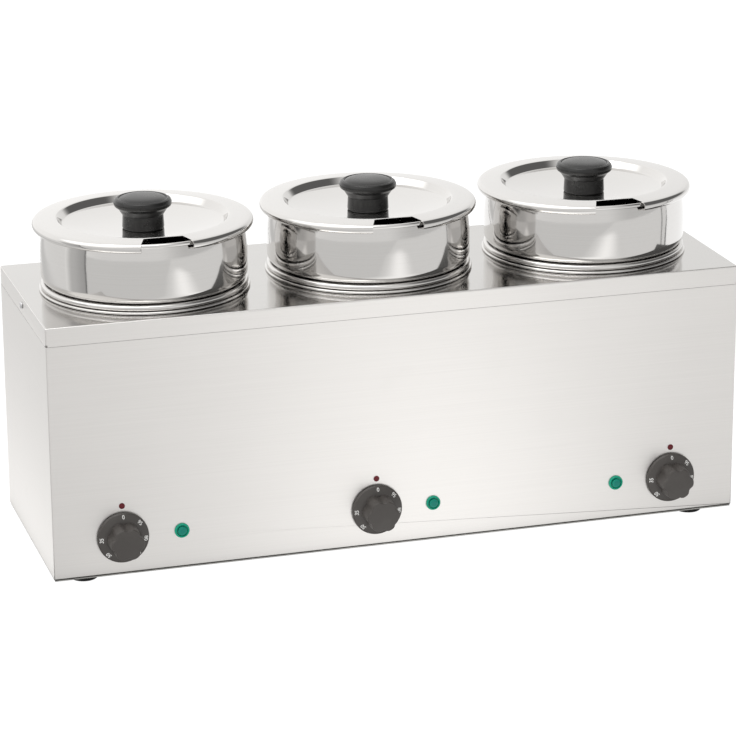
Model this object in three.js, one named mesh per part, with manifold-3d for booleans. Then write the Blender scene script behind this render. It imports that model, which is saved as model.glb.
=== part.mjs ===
// A three-pot electric soup kettle for a buffet: a folded stainless housing with three water
// wells, a lift-out pot and notched lid in each, and a thermostat with a pilot lamp for each well.
// Millimetres, +Z up, front towards -Y. The origin is under the middle of the whole object,
// on the surface that it stands on.
import * as THREE from "three";
import { mergeVertices } from "three/addons/utils/BufferGeometryUtils.js";
import Module from "manifold-3d";

const wasm = await Module();
wasm.setup();

// Driving dimensions: the housing
const HOUSING_WIDTH = 720;
const HOUSING_DEPTH = 235;
const HOUSING_HEIGHT = 261;
const SHEET = 1.2;
const FIT_GAP = 0.3;
const OVERLAP = 1; // how far a joined or cutting piece runs past the face that it meets
const SKIRT_HEIGHT = 19;
const RETURN_FLANGE = 14;
const BASE_INSET = 1;

// Driving dimensions: the feet
const FOOT_HEIGHT = 10;
const FOOT_RADIUS = 14.5;
const FOOT_STEM_RADIUS = 4;
const FOOT_STEM_REACH = 7;
const FOOT_FROM_SIDE = 36;
const FOOT_FROM_FRONT = 31;

// Driving dimensions: a well and its ring
const WELL_PITCH = 234.5;
const WELL_RADIUS = 95.3;
const WELL_SHEET = 1;
const WELL_DEPTH = 120;
const WELL_CORNER = 8;
const DECK_HOLE_CLEARANCE = 1;
const RIM_WIDTH = 9.2;
const RIM_BEAD = 2.9;
const RING_BEYOND_RIM = 1.5;
const RING_HEIGHT = 2.9;

// Driving dimensions: a pot
const POT_CLEARANCE = 0.8;
const POT_SHEET = 1.2;
const POT_DEPTH = 80;
const POT_CORNER = 10;
const POT_NECK_STEP = 2.1;
const POT_BULGE = 7.4;
const POT_SHOULDER = 12;
const POT_SHOULDER_HEIGHT = 20;
const POT_STRAIGHT = 14;
const POT_TAPER_ARC = 150;
const POT_RIM_HEIGHT = 70.5;
const POT_RIM_BEAD = 2.2;

// Driving dimensions: a lid and its knob
const LID_OVERHANG = 6.7;
const LID_SHEET = 1.2;
const LID_FLANGE_WIDTH = 24.7;
const LID_STEP_WIDTH = 5;
const LID_STEP_DROP = 6.8;
const LID_DISH = 5.8;
const LID_LAND = 2;
const LID_CROWN = 1.2;
const LID_EDGE_ARC = 4;
const LID_LIP = 2.4;
const NOTCH_FROM_STEP = 3;
const NOTCH_HALF_INNER = 19.5;
const NOTCH_HALF_OUTER = 28;
const LID_KNOB_RADIUS = 29.3;
const LID_KNOB_STEM = 21;
const LID_KNOB_HEIGHT = 33;
const LID_KNOB_CAP = 13;
const LID_KNOB_WAIST = 0.5;
const LID_KNOB_FLARE = 4;
const LID_KNOB_EDGE = 1.5;
const LID_KNOB_DOME = 5;
const LID_SCREW_RADIUS = 2.5;
const LID_SCREW_HEAD = 5;
const LID_SCREW_REACH = 16;

// Driving dimensions: the controls on the front
const KNOB_FROM_SIDE = 70;
const MIDDLE_KNOB_X = -28;
const LAMP_FROM_KNOB = 60;
const CONTROL_HEIGHT = 40;
const DOT_HEIGHT = 72.3;
const DOT_RADIUS = 3;
const DOT_STUD_RADIUS = 1.8;
const DOT_STUD_BEYOND = 1;
const DOT_PROUD = 0.7;
const DOT_CROWN_WIDTH = 0.7; // share of the dot's radius
const DOT_CROWN_HEIGHT = 0.8; // share of its height
const KNOB_SKIRT_RADIUS = 26;
const KNOB_SKIRT_THICKNESS = 4.5;
const KNOB_SKIRT_GAP = 1;
const KNOB_GRIP_RADIUS = 18;
const KNOB_SCALLOPS = 6;
const KNOB_SCALLOP_DEPTH = 1.8;
const KNOB_LENGTH = 26;
const KNOB_BORE_DEPTH = 16;
const KNOB_EDGE = 1;
const KNOB_GRIP_EDGE = 2;
const SPINDLE_RADIUS = 3;
const SPINDLE_TIP_GAP = 1;
const SLEEVE_WALL = 2;
const LAMP_NECK_RADIUS = 5.6;
const LAMP_FLANGE_WIDTH = 1.9;
const LAMP_FLANGE = 1.6;
const LAMP_LENS_RADIUS = 4.9;
const LAMP_LENS_PROUD = 3.6;
const LAMP_EDGE = 1;
const LAMP_NECK_BEYOND_PANEL = 2;
const LAMP_COLLAR = 3;
const LAMP_BODY_LENGTH = 26;

// Driving dimensions: what the housing holds
const THERMOSTAT_SIZE = 34;
const THERMOSTAT_DEPTH = 26;
const THERMOSTAT_NECK = 6;
const THERMOSTAT_ABOVE_SPINDLE = 4;
const THERMOSTAT_COLLAR_WALL = 3;
const ELEMENT_RING = 58;
const ELEMENT_TUBE = 4;
const ELEMENT_GAP_ANGLE = Math.PI / 5;
const ELEMENT_LEG = 24;
const ELEMENT_LEG_SHARE = 0.12; // share of the tube's run
const STUD_RADIUS = 3;
const STUD_BEYOND_CLAMP = 8;
const CLAMP_BOSS = 5;
const BULB_RADIUS = 3;
const BULB_LENGTH = 50;
const BULB_FROM_AXIS = 30;
const CAPILLARY_RADIUS = 1;
const CAPILLARY_RISER = 15;
const CAPILLARY_HOLE = 5;
const CAPILLARY_FROM_CAN = 14;
const CAPILLARY_BEND = 8;
const TERMINAL_SIZE = [62, 24, 20];
const TERMINAL_FROM_SIDE = 90;
const TERMINAL_FROM_REAR = 70;
const TERMINAL_WAYS = 5;
const TERMINAL_GROOVE = 2;

// Driving dimensions: the cable gland and the screws
const GLAND_FROM_SIDE = 90;
const GLAND_HEIGHT = 40;
const GLAND_THREAD = 10;
const GLAND_HEX = 13;
const GLAND_BORE = 4.6;
const GLAND_LENGTH = 22;
const GLAND_TAIL = 9;
const GLAND_FLANGE = 6;
const GLAND_EDGE = 1;
const GLAND_NUT_INSET = 1.5;
const GLAND_DOME = 5;
const GLAND_MOUTH = 2;
const LOCKNUT_THICKNESS = 4;
const DECK_SCREW_RADIUS = 1.9;
const DECK_SCREW_HEAD = 3.6;
const DECK_SCREW_PROUD = 1.8;
const DECK_SCREW_REACH = 8;
const DECK_SCREW_CROWN_WIDTH = 0.8; // share of the head's radius
const DECK_SCREW_CROWN_HEIGHT = 0.7; // share of its height

// Facets of round pieces
const ROUND = 24;
const ROUND_SMALL = 16;
const ROUND_TINY = 12;
const TUBE_SIDES = 6;
const ELEMENT_STEPS = 22;
const CAPILLARY_STEPS = 16;

// Places worked out from the driving dimensions
const WHOLE_DEPTH = KNOB_LENGTH + HOUSING_DEPTH + GLAND_LENGTH;
const FRONT_Y = -WHOLE_DEPTH / 2 + KNOB_LENGTH;
const REAR_Y = FRONT_Y + HOUSING_DEPTH;
const WELL_Y = (FRONT_Y + REAR_Y) / 2;
const SIDE_X = HOUSING_WIDTH / 2;
const BASE_Z = FOOT_HEIGHT;
const SHELL_Z = BASE_Z + SHEET + FIT_GAP;
const DECK_Z = BASE_Z + HOUSING_HEIGHT;
const SEAM_Z = DECK_Z - SKIRT_HEIGHT - FIT_GAP;
const WELL_OUTER = WELL_RADIUS + WELL_SHEET;
const RIM_RADIUS = WELL_RADIUS + RIM_WIDTH;
const RING_RADIUS = RIM_RADIUS + RING_BEYOND_RIM;
const WELL_FLOOR_Z = DECK_Z - WELL_DEPTH;
const RIM_Z = DECK_Z + RING_HEIGHT + FIT_GAP + RIM_BEAD;
const SEAT_Z = RIM_Z - (RIM_RADIUS - 2 * RIM_BEAD - WELL_RADIUS);
const POT_RADIUS = WELL_RADIUS - POT_CLEARANCE;
const POT_NECK = POT_RADIUS + POT_NECK_STEP;
const POT_BELLY_RADIUS = POT_NECK + POT_BULGE;
const POT_SEAT_Z = SEAT_Z - POT_CLEARANCE + FIT_GAP * Math.SQRT2;
const POT_FLOOR_Z = DECK_Z - POT_DEPTH;
const POT_RIM_Z = DECK_Z + POT_RIM_HEIGHT;
const POT_TAPER_RISE = POT_RIM_HEIGHT - 2 * POT_RIM_BEAD - POT_SHOULDER_HEIGHT - POT_STRAIGHT;
const POT_TAPER_IN = POT_TAPER_ARC - Math.sqrt(POT_TAPER_ARC ** 2 - POT_TAPER_RISE ** 2);
const POT_BEAD_RADIUS = POT_BELLY_RADIUS - POT_TAPER_IN - POT_SHEET + POT_RIM_BEAD;
const LID_RADIUS = POT_BELLY_RADIUS + LID_OVERHANG;
const LID_FLANGE_INNER = LID_RADIUS - LID_FLANGE_WIDTH;
const LID_CROWN_SHARE = (POT_BEAD_RADIUS - LID_FLANGE_INNER) / (LID_FLANGE_WIDTH - LID_EDGE_ARC);
const LID_FLANGE_Z = POT_RIM_Z + FIT_GAP + LID_SHEET + LID_CROWN * LID_CROWN_SHARE;
const LID_PANEL_Z = LID_FLANGE_Z - LID_STEP_DROP - LID_DISH;
const LID_STEP_INNER = LID_FLANGE_INNER - LID_STEP_WIDTH;
const NOTCH_INNER_RADIUS = LID_FLANGE_INNER + NOTCH_FROM_STEP;
const SPINDLE_SLEEVE = SPINDLE_RADIUS + SLEEVE_WALL;
const LAMP_FLANGE_RADIUS = LAMP_NECK_RADIUS + LAMP_FLANGE_WIDTH;
const ELEMENT_Z = WELL_FLOOR_Z - WELL_SHEET - FIT_GAP - ELEMENT_TUBE;
const CLAMP_Z = ELEMENT_Z - ELEMENT_TUBE - FIT_GAP - SHEET;
const RISER_X = -BULB_LENGTH / 2 - CAPILLARY_RISER;
const CONTROL_Z = BASE_Z + CONTROL_HEIGHT;
const DOT_Z = BASE_Z + DOT_HEIGHT;
const SCREW_Z = DECK_Z - SKIRT_HEIGHT / 2;

const STATIONS = [
  { name: "1", x: -WELL_PITCH, knobX: -SIDE_X + KNOB_FROM_SIDE, lampSide: 1 },
  { name: "2", x: 0, knobX: MIDDLE_KNOB_X, lampSide: 1 },
  { name: "3", x: WELL_PITCH, knobX: SIDE_X - KNOB_FROM_SIDE, lampSide: -1 },
].map((station) => ({
  ...station,
  lampX: station.knobX + station.lampSide * LAMP_FROM_KNOB,
}));

// Finishes
function finish(color, roughness, metalness) {
  return new THREE.MeshStandardMaterial({ color, roughness, metalness });
}
const BRUSHED_STEEL = finish(0xdedbd6, 0.34, 1);
const POLISHED_STEEL = finish(0xd8d6d2, 0.1, 1);
const PLAIN_STEEL = finish(0xaaa8a4, 0.45, 1);
const BLACK_PLASTIC = finish(0x1c1c1d, 0.35, 0);
const CHARCOAL_PLASTIC = finish(0x3b3936, 0.55, 0);
const GREEN_LENS = finish(0x0c9a72, 0.2, 0);
const RED_DOT = finish(0x6d0f1c, 0.3, 0);
const BLACK_RUBBER = finish(0x151515, 0.8, 0);
const WHITE_CERAMIC = finish(0xe8e4da, 0.5, 0);
const COPPER = finish(0xb87545, 0.35, 1);

// Shapes
function block(x0, x1, y0, y1, z0, z1) {
  const box = new THREE.BoxGeometry(x1 - x0, y1 - y0, z1 - z0);
  return box.translate((x0 + x1) / 2, (y0 + y1) / 2, (z0 + z1) / 2);
}

// Turns an outline of [radius, height] points round the Z axis.
function turned(outline, facets = ROUND) {
  const points = outline.map(([radius, height]) => new THREE.Vector2(radius, height));
  return new THREE.LatheGeometry(points, facets).rotateX(Math.PI / 2);
}

// Turns an outline of [radius, y] points round a line along Y through x and z.
function turnedAlongY(outline, x, z, facets = ROUND_TINY) {
  const points = outline.map(([radius, y]) => new THREE.Vector2(radius, y));
  return new THREE.LatheGeometry(points, facets).translate(x, 0, z);
}

function discOutline(radius, low, high) {
  return [[0, low], [radius, low], [radius, high], [0, high]];
}

function rodAlongY(x, z, radius, y0, y1, facets = ROUND_TINY) {
  return turnedAlongY(discOutline(radius, y0, y1), x, z, facets);
}

function arc(centreRadius, centreHeight, radius, fromDegrees, toDegrees, steps) {
  const points = [];
  for (let i = 0; i <= steps; i += 1) {
    const angle = THREE.MathUtils.degToRad(fromDegrees + ((toDegrees - fromDegrees) * i) / steps);
    points.push([centreRadius + radius * Math.cos(angle), centreHeight + radius * Math.sin(angle)]);
  }
  return points;
}

function tubeAlong(curve, radius, steps) {
  const section = new THREE.Shape();
  for (let i = 0; i < TUBE_SIDES; i += 1) {
    const angle = (i / TUBE_SIDES) * 2 * Math.PI;
    const point = [radius * Math.cos(angle), radius * Math.sin(angle)];
    if (i === 0) section.moveTo(...point);
    else section.lineTo(...point);
  }
  return new THREE.ExtrudeGeometry(section, { steps, extrudePath: curve, bevelEnabled: false });
}

// Solids, for joining and cutting
function solid(geometry) {
  const bare = geometry.clone();
  bare.deleteAttribute("normal");
  bare.deleteAttribute("uv");
  const merged = mergeVertices(bare, 1e-4);
  const corners = merged.index.array;
  const triangles = [];
  for (let i = 0; i < corners.length; i += 3) {
    const [a, b, c] = corners.slice(i, i + 3);
    if (a !== b && b !== c && c !== a) triangles.push(a, b, c);
  }
  return new wasm.Manifold(
    new wasm.Mesh({
      numProp: 3,
      vertProperties: new Float32Array(merged.attributes.position.array),
      triVerts: new Uint32Array(triangles),
    }),
  );
}

function joined(first, ...others) {
  return others.reduce((whole, other) => whole.add(solid(other)), solid(first));
}

function cutFrom(whole, ...tools) {
  return tools.reduce((rest, tool) => rest.subtract(solid(tool)), whole);
}

function geometryOf(made) {
  const mesh = made.getMesh();
  const geometry = new THREE.BufferGeometry();
  const corners = mesh.vertProperties;
  geometry.setAttribute("position", new THREE.BufferAttribute(new Float32Array(corners), 3));
  geometry.setIndex(new THREE.BufferAttribute(new Uint32Array(mesh.triVerts), 1));
  const faceted = geometry.toNonIndexed();
  faceted.computeVertexNormals();
  return faceted;
}

const kettle = new THREE.Group();

function place(name, geometry, material, parent = kettle) {
  const mesh = new THREE.Mesh(geometry, material);
  mesh.name = name;
  parent.add(mesh);
  return mesh;
}

// Housing: a deck with a skirt, a wrap for front and sides, a rear panel and a base plate

function topDeck() {
  const inner = SIDE_X - SHEET;
  const deck = cutFrom(
    solid(block(-SIDE_X, SIDE_X, FRONT_Y, REAR_Y, DECK_Z - SKIRT_HEIGHT, DECK_Z)),
    block(-inner, inner, FRONT_Y + SHEET, REAR_Y - SHEET, DECK_Z - 2 * SKIRT_HEIGHT, DECK_Z - SHEET),
  );
  const holes = STATIONS.map(({ x }) =>
    turned(
      discOutline(WELL_OUTER + DECK_HOLE_CLEARANCE, DECK_Z - 2 * SHEET, DECK_Z + SHEET),
    ).translate(x, WELL_Y, 0),
  );
  return geometryOf(cutFrom(deck, ...holes, ...screwHoles()));
}

// Clearance holes for the two deck screws, through the skirt and the band behind it.
function screwHoles() {
  const reach = SIDE_X + SHEET;
  const rod = turned(discOutline(DECK_SCREW_RADIUS + FIT_GAP, -reach, reach), ROUND_TINY);
  return [rod.rotateY(Math.PI / 2).translate(0, WELL_Y, SCREW_Z)];
}

// A wall along X whose top is set back by a sheet and a gap, so that the skirt hangs flush over it.
// Towards gives the inside: 1 for a wall at the front, -1 for one at the rear.
function setBackWall(halfLength, outerY, towards) {
  const near = (depth) => outerY + towards * depth;
  const slab = (half, from, to, z0, z1) => {
    const [y0, y1] = [near(from), near(to)].sort((a, b) => a - b);
    return block(-half, half, y0, y1, z0, z1);
  };
  const bandHalf = SIDE_X - SHEET - FIT_GAP;
  const bandDepth = SHEET + FIT_GAP;
  return [
    slab(halfLength, 0, SHEET, SHELL_Z, SEAM_Z),
    slab(Math.min(halfLength, bandHalf), 0, bandDepth + SHEET, SEAM_Z - SHEET, SEAM_Z),
    slab(
      Math.min(halfLength, bandHalf), bandDepth, bandDepth + SHEET,
      SEAM_Z - SHEET, DECK_Z - SHEET - FIT_GAP,
    ),
  ];
}

function sideWall(side) {
  const wall = (from, to, y0, y1, z0, z1) => {
    const [x0, x1] = [side * (SIDE_X - from), side * (SIDE_X - to)].sort((a, b) => a - b);
    return block(x0, x1, y0, y1, z0, z1);
  };
  const setBack = SHEET + FIT_GAP;
  const bandRear = REAR_Y - 2 * (SHEET + FIT_GAP) - SHEET;
  return [
    wall(0, SHEET, FRONT_Y, REAR_Y, SHELL_Z, SEAM_Z),
    wall(0, setBack + SHEET, FRONT_Y + setBack, bandRear, SEAM_Z - SHEET, SEAM_Z),
    wall(
      setBack, setBack + SHEET, FRONT_Y + setBack, bandRear,
      SEAM_Z - SHEET, DECK_Z - SHEET - FIT_GAP,
    ),
    wall(0, RETURN_FLANGE, FRONT_Y, REAR_Y - 2 * SHEET - FIT_GAP, SHELL_Z, SHELL_Z + SHEET),
    wall(
      0, RETURN_FLANGE, REAR_Y - 2 * SHEET - FIT_GAP, REAR_Y - SHEET - FIT_GAP,
      SHELL_Z, SEAM_Z - SHEET - FIT_GAP,
    ),
  ];
}

function housingShell() {
  const bottomFlange = block(
    -SIDE_X, SIDE_X, FRONT_Y, FRONT_Y + RETURN_FLANGE, SHELL_Z, SHELL_Z + SHEET,
  );
  const shell = joined(...setBackWall(SIDE_X, FRONT_Y, 1), ...sideWall(1), ...sideWall(-1), bottomFlange);
  const through = [FRONT_Y - SHEET, FRONT_Y + 2 * SHEET];
  const controlHoles = STATIONS.flatMap(({ knobX, lampX }) => [
    rodAlongY(knobX, CONTROL_Z, SPINDLE_SLEEVE + FIT_GAP, ...through),
    rodAlongY(lampX, CONTROL_Z, LAMP_NECK_RADIUS + FIT_GAP, ...through),
    rodAlongY(knobX, DOT_Z, DOT_STUD_RADIUS + FIT_GAP, ...through),
  ]);
  return geometryOf(cutFrom(shell, ...controlHoles, ...screwHoles()));
}

const GLAND_X = SIDE_X - GLAND_FROM_SIDE;
const GLAND_Z = BASE_Z + GLAND_HEIGHT;

function rearPanel() {
  const half = SIDE_X - SHEET - FIT_GAP;
  const panel = joined(...setBackWall(half, REAR_Y, -1));
  const glandHole = rodAlongY(
    GLAND_X, GLAND_Z, GLAND_THREAD + FIT_GAP, REAR_Y - 2 * SHEET, REAR_Y + SHEET, ROUND_SMALL,
  );
  return geometryOf(cutFrom(panel, glandHole));
}

const FEET = [
  ["foot_front_left", -1, FRONT_Y + FOOT_FROM_FRONT],
  ["foot_front_right", 1, FRONT_Y + FOOT_FROM_FRONT],
  ["foot_rear_left", -1, REAR_Y - FOOT_FROM_FRONT],
  ["foot_rear_right", 1, REAR_Y - FOOT_FROM_FRONT],
].map(([name, side, y]) => ({ name, x: side * (SIDE_X - FOOT_FROM_SIDE), y }));

function basePlate() {
  const half = SIDE_X - BASE_INSET;
  const plate = solid(
    block(-half, half, FRONT_Y + BASE_INSET, REAR_Y - BASE_INSET, BASE_Z, BASE_Z + SHEET),
  );
  const stemHoles = FEET.map(({ x, y }) =>
    turned(
      discOutline(FOOT_STEM_RADIUS + FIT_GAP, BASE_Z - SHEET, BASE_Z + 2 * SHEET), ROUND_SMALL,
    ).translate(x, y, 0),
  );
  return geometryOf(cutFrom(plate, ...stemHoles));
}

function foot() {
  const top = BASE_Z - FIT_GAP;
  const chamfer = FOOT_HEIGHT / 5;
  return turned(
    [
      [0, 0],
      [FOOT_RADIUS - chamfer, 0],
      [FOOT_RADIUS, chamfer],
      [FOOT_RADIUS, top],
      [FOOT_STEM_RADIUS, top],
      [FOOT_STEM_RADIUS, BASE_Z + FOOT_STEM_REACH - chamfer],
      [FOOT_STEM_RADIUS - chamfer, BASE_Z + FOOT_STEM_REACH],
      [0, BASE_Z + FOOT_STEM_REACH],
    ],
    ROUND_SMALL,
  );
}

function deckScrew(side) {
  const head = SIDE_X + FIT_GAP;
  const outline = [
    [0, SIDE_X - DECK_SCREW_REACH],
    [DECK_SCREW_RADIUS, SIDE_X - DECK_SCREW_REACH],
    [DECK_SCREW_RADIUS, head],
    [DECK_SCREW_HEAD, head],
    [DECK_SCREW_HEAD * DECK_SCREW_CROWN_WIDTH, head + DECK_SCREW_PROUD * DECK_SCREW_CROWN_HEIGHT],
    [0, head + DECK_SCREW_PROUD],
  ];
  return turned(outline, ROUND_TINY).rotateY((side * Math.PI) / 2).translate(0, WELL_Y, SCREW_Z);
}

// Water wells: a drawn tank that hangs by its rolled rim on a ring, with a stud under its floor

function wellTank() {
  const beadCentre = RIM_RADIUS - RIM_BEAD;
  const low = WELL_FLOOR_Z - WELL_SHEET;
  return turned([
    [0, CLAMP_Z - STUD_BEYOND_CLAMP],
    [STUD_RADIUS, CLAMP_Z - STUD_BEYOND_CLAMP],
    [STUD_RADIUS, low],
    [WELL_OUTER - WELL_CORNER, low],
    [WELL_OUTER, low + WELL_CORNER],
    [WELL_OUTER, RIM_Z - RIM_BEAD],
    ...arc(beadCentre, RIM_Z, RIM_BEAD, -90, 180, 5),
    [WELL_RADIUS, SEAT_Z],
    [WELL_RADIUS, WELL_FLOOR_Z + WELL_CORNER - WELL_SHEET],
    [WELL_RADIUS - WELL_CORNER + WELL_SHEET, WELL_FLOOR_Z],
    [0, WELL_FLOOR_Z],
  ]);
}

function wellRing() {
  const low = DECK_Z + FIT_GAP;
  const inner = WELL_OUTER + FIT_GAP;
  const bead = (DECK_Z + RING_HEIGHT - low) / 2;
  return turned([
    [inner, low],
    ...arc(RING_RADIUS - bead, low + bead, bead, -90, 90, 4),
    [inner, low + 2 * bead],
    [inner, low],
  ]);
}

// Pots: a straight lower wall, a cone that seats in the well, a round shoulder, a belly and a rim

function potWall(inset) {
  const shoulderCentre = POT_BELLY_RADIUS - POT_SHOULDER;
  const shoulder = POT_SHOULDER - inset;
  const shoulderZ = DECK_Z + POT_SHOULDER_HEIGHT;
  const neck = POT_NECK - inset;
  const fromAngle = -THREE.MathUtils.radToDeg(Math.acos((neck - shoulderCentre) / shoulder));
  const taperZ = shoulderZ + POT_STRAIGHT;
  const taper = POT_TAPER_ARC - inset;
  const topAngle = THREE.MathUtils.radToDeg(Math.asin(POT_TAPER_RISE / taper));
  const cone = inset * Math.tan(Math.PI / 8);
  const low = POT_FLOOR_Z + inset;
  return [
    [0, low],
    ...arc(POT_RADIUS - POT_CORNER, POT_FLOOR_Z + POT_CORNER, POT_CORNER - inset, -90, 0, 1),
    [POT_RADIUS - inset, POT_SEAT_Z + cone],
    [neck, POT_SEAT_Z + POT_NECK_STEP + cone],
    ...arc(shoulderCentre, shoulderZ, shoulder, fromAngle, 0, 2),
    ...arc(POT_BELLY_RADIUS - POT_TAPER_ARC, taperZ, taper, 0, topAngle, 2),
  ];
}

function pot() {
  const outer = potWall(0);
  const inner = potWall(POT_SHEET).reverse();
  const bead = arc(POT_BEAD_RADIUS, POT_RIM_Z - POT_RIM_BEAD, POT_RIM_BEAD, -45, 180, 4);
  return turned([...outer, ...bead, ...inner]);
}

// Lids: a crowned flange with a turned-down edge, a step, a dished panel and a ladle notch

function lidSurface(drop) {
  const flangeZ = LID_FLANGE_Z - drop;
  const land = LID_KNOB_STEM + LID_LAND;
  const dish = [0, 0.5, 1].map((share) => [
    land + (LID_STEP_INNER - land) * share,
    LID_PANEL_Z + LID_DISH * share * share - drop,
  ]);
  const edgeCentre = LID_RADIUS - LID_EDGE_ARC;
  const edge = arc(edgeCentre, LID_FLANGE_Z - LID_CROWN - LID_EDGE_ARC, LID_EDGE_ARC - drop, 90, 0, 2);
  return [[0, LID_PANEL_Z - drop], ...dish, [LID_FLANGE_INNER, flangeZ], ...edge];
}

function lid(x) {
  const top = lidSurface(0);
  const under = lidSurface(LID_SHEET);
  const lipZ = LID_FLANGE_Z - LID_CROWN - LID_EDGE_ARC - LID_LIP;
  const whole = turned([
    ...under,
    [LID_RADIUS - LID_SHEET, lipZ],
    [LID_RADIUS, lipZ],
    ...top.reverse(),
  ]);
  const screwHole = turned(
    discOutline(LID_SCREW_RADIUS + FIT_GAP, LID_PANEL_Z - 2 * LID_SHEET, LID_PANEL_Z + LID_SHEET),
    ROUND_TINY,
  );
  return geometryOf(cutFrom(solid(whole), notchTool(), screwHole)).translate(x, WELL_Y, 0);
}

// The ladle notch widens towards the edge and opens to the front.
function notchTool() {
  const reach = 2 * LID_RADIUS - NOTCH_INNER_RADIUS;
  const slope = (NOTCH_HALF_OUTER - NOTCH_HALF_INNER) / (LID_RADIUS - NOTCH_INNER_RADIUS);
  const outerHalf = NOTCH_HALF_INNER + slope * (reach - NOTCH_INNER_RADIUS);
  const outline = new THREE.Shape();
  outline.moveTo(-outerHalf, -reach);
  outline.lineTo(outerHalf, -reach);
  outline.lineTo(NOTCH_HALF_INNER, -NOTCH_INNER_RADIUS);
  outline.lineTo(-NOTCH_HALF_INNER, -NOTCH_INNER_RADIUS);
  const depth = 2 * (LID_FLANGE_Z - LID_PANEL_Z);
  const low = LID_FLANGE_Z - LID_CROWN - LID_EDGE_ARC - LID_LIP - OVERLAP;
  return new THREE.ExtrudeGeometry(outline, { depth, bevelEnabled: false }).translate(0, 0, low);
}

const LID_KNOB_Z = LID_PANEL_Z + FIT_GAP;

function lidKnob(x) {
  const top = LID_KNOB_Z + LID_KNOB_HEIGHT;
  const capLow = top - LID_KNOB_CAP;
  const knob = turned(
    [
      [0, LID_KNOB_Z],
      [LID_KNOB_STEM, LID_KNOB_Z],
      [LID_KNOB_STEM - LID_KNOB_WAIST, capLow - LID_KNOB_FLARE],
      [LID_KNOB_STEM + 2 * LID_KNOB_WAIST, capLow],
      [LID_KNOB_RADIUS - LID_KNOB_EDGE, capLow + LID_KNOB_FLARE],
      [LID_KNOB_RADIUS, capLow + LID_KNOB_CAP / 2],
      [LID_KNOB_RADIUS - 2 * LID_KNOB_WAIST, top - 2 * LID_KNOB_EDGE],
      [LID_KNOB_RADIUS - LID_KNOB_DOME, top - 2 * LID_KNOB_WAIST],
      [0, top],
    ],
    ROUND_SMALL,
  );
  const bore = turned(
    discOutline(LID_SCREW_RADIUS + FIT_GAP, LID_KNOB_Z - OVERLAP, LID_KNOB_Z + LID_SCREW_REACH + OVERLAP),
    ROUND_TINY,
  );
  return geometryOf(cutFrom(solid(knob), bore)).translate(x, WELL_Y, 0);
}

function lidScrew() {
  const under = LID_PANEL_Z - LID_SHEET - FIT_GAP;
  return turned(
    [
      [0, under - LID_SCREW_RADIUS],
      [LID_SCREW_HEAD, under - LID_SCREW_RADIUS],
      [LID_SCREW_HEAD, under],
      [LID_SCREW_RADIUS, under],
      [LID_SCREW_RADIUS, LID_KNOB_Z + LID_SCREW_REACH],
      [0, LID_KNOB_Z + LID_SCREW_REACH],
    ],
    ROUND_TINY,
  );
}

// Controls: a knob on a spindle, the thermostat behind it, a lamp and an index dot

function gripOutline() {
  const outline = new THREE.Shape();
  const steps = KNOB_SCALLOPS * 4;
  for (let i = 0; i < steps; i += 1) {
    const angle = (i / steps) * 2 * Math.PI;
    const dip = (1 - Math.cos(KNOB_SCALLOPS * angle)) / 2;
    const radius = KNOB_GRIP_RADIUS - KNOB_SCALLOP_DEPTH * dip;
    const point = [radius * Math.sin(angle), radius * Math.cos(angle)];
    if (i === 0) outline.moveTo(...point);
    else outline.lineTo(...point);
  }
  return outline;
}

function controlKnob(x) {
  const back = FRONT_Y - KNOB_SKIRT_GAP;
  const face = FRONT_Y - KNOB_LENGTH;
  const skirtFront = back - KNOB_SKIRT_THICKNESS;
  const skirt = turnedAlongY(
    [
      [0, skirtFront - KNOB_EDGE],
      [KNOB_GRIP_RADIUS + KNOB_EDGE, skirtFront - KNOB_EDGE],
      [KNOB_SKIRT_RADIUS - KNOB_EDGE, skirtFront + KNOB_EDGE],
      [KNOB_SKIRT_RADIUS, skirtFront + 2 * KNOB_EDGE],
      [KNOB_SKIRT_RADIUS, back],
      [0, back],
    ],
    x, CONTROL_Z, ROUND,
  );
  const grip = new THREE.ExtrudeGeometry(gripOutline(), {
    depth: back - KNOB_SKIRT_THICKNESS / 2 - face - KNOB_GRIP_EDGE,
    bevelThickness: KNOB_GRIP_EDGE,
    bevelSize: KNOB_GRIP_EDGE,
    bevelOffset: -KNOB_GRIP_EDGE,
    bevelSegments: 1,
  });
  grip.rotateX(Math.PI / 2).translate(x, back - KNOB_SKIRT_THICKNESS / 2, CONTROL_Z);
  const bore = rodAlongY(
    x, CONTROL_Z, SPINDLE_RADIUS + FIT_GAP, back - KNOB_BORE_DEPTH, back + OVERLAP,
  );
  return geometryOf(cutFrom(joined(skirt, grip), bore));
}

function spindle(x) {
  const tip = FRONT_Y - KNOB_SKIRT_GAP - KNOB_BORE_DEPTH + SPINDLE_TIP_GAP;
  const end = FRONT_Y + SHEET + THERMOSTAT_NECK;
  return rodAlongY(x, CONTROL_Z, SPINDLE_RADIUS, tip, end);
}

function thermostat(x) {
  const neckBack = FRONT_Y + SHEET + THERMOSTAT_NECK;
  const half = THERMOSTAT_SIZE / 2;
  const canZ = CONTROL_Z + THERMOSTAT_ABOVE_SPINDLE;
  const can = block(
    x - half, x + half, neckBack, neckBack + THERMOSTAT_DEPTH, canZ - half, canZ + half,
  );
  const collar = rodAlongY(
    x, CONTROL_Z, SPINDLE_SLEEVE + THERMOSTAT_COLLAR_WALL,
    FRONT_Y + SHEET + FIT_GAP, neckBack + OVERLAP,
  );
  const sleeve = rodAlongY(x, CONTROL_Z, SPINDLE_SLEEVE, FRONT_Y, neckBack + OVERLAP);
  const bore = rodAlongY(
    x, CONTROL_Z, SPINDLE_RADIUS + FIT_GAP, FRONT_Y - OVERLAP, neckBack + 2 * OVERLAP,
  );
  return geometryOf(cutFrom(joined(can, collar, sleeve), bore));
}

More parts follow.
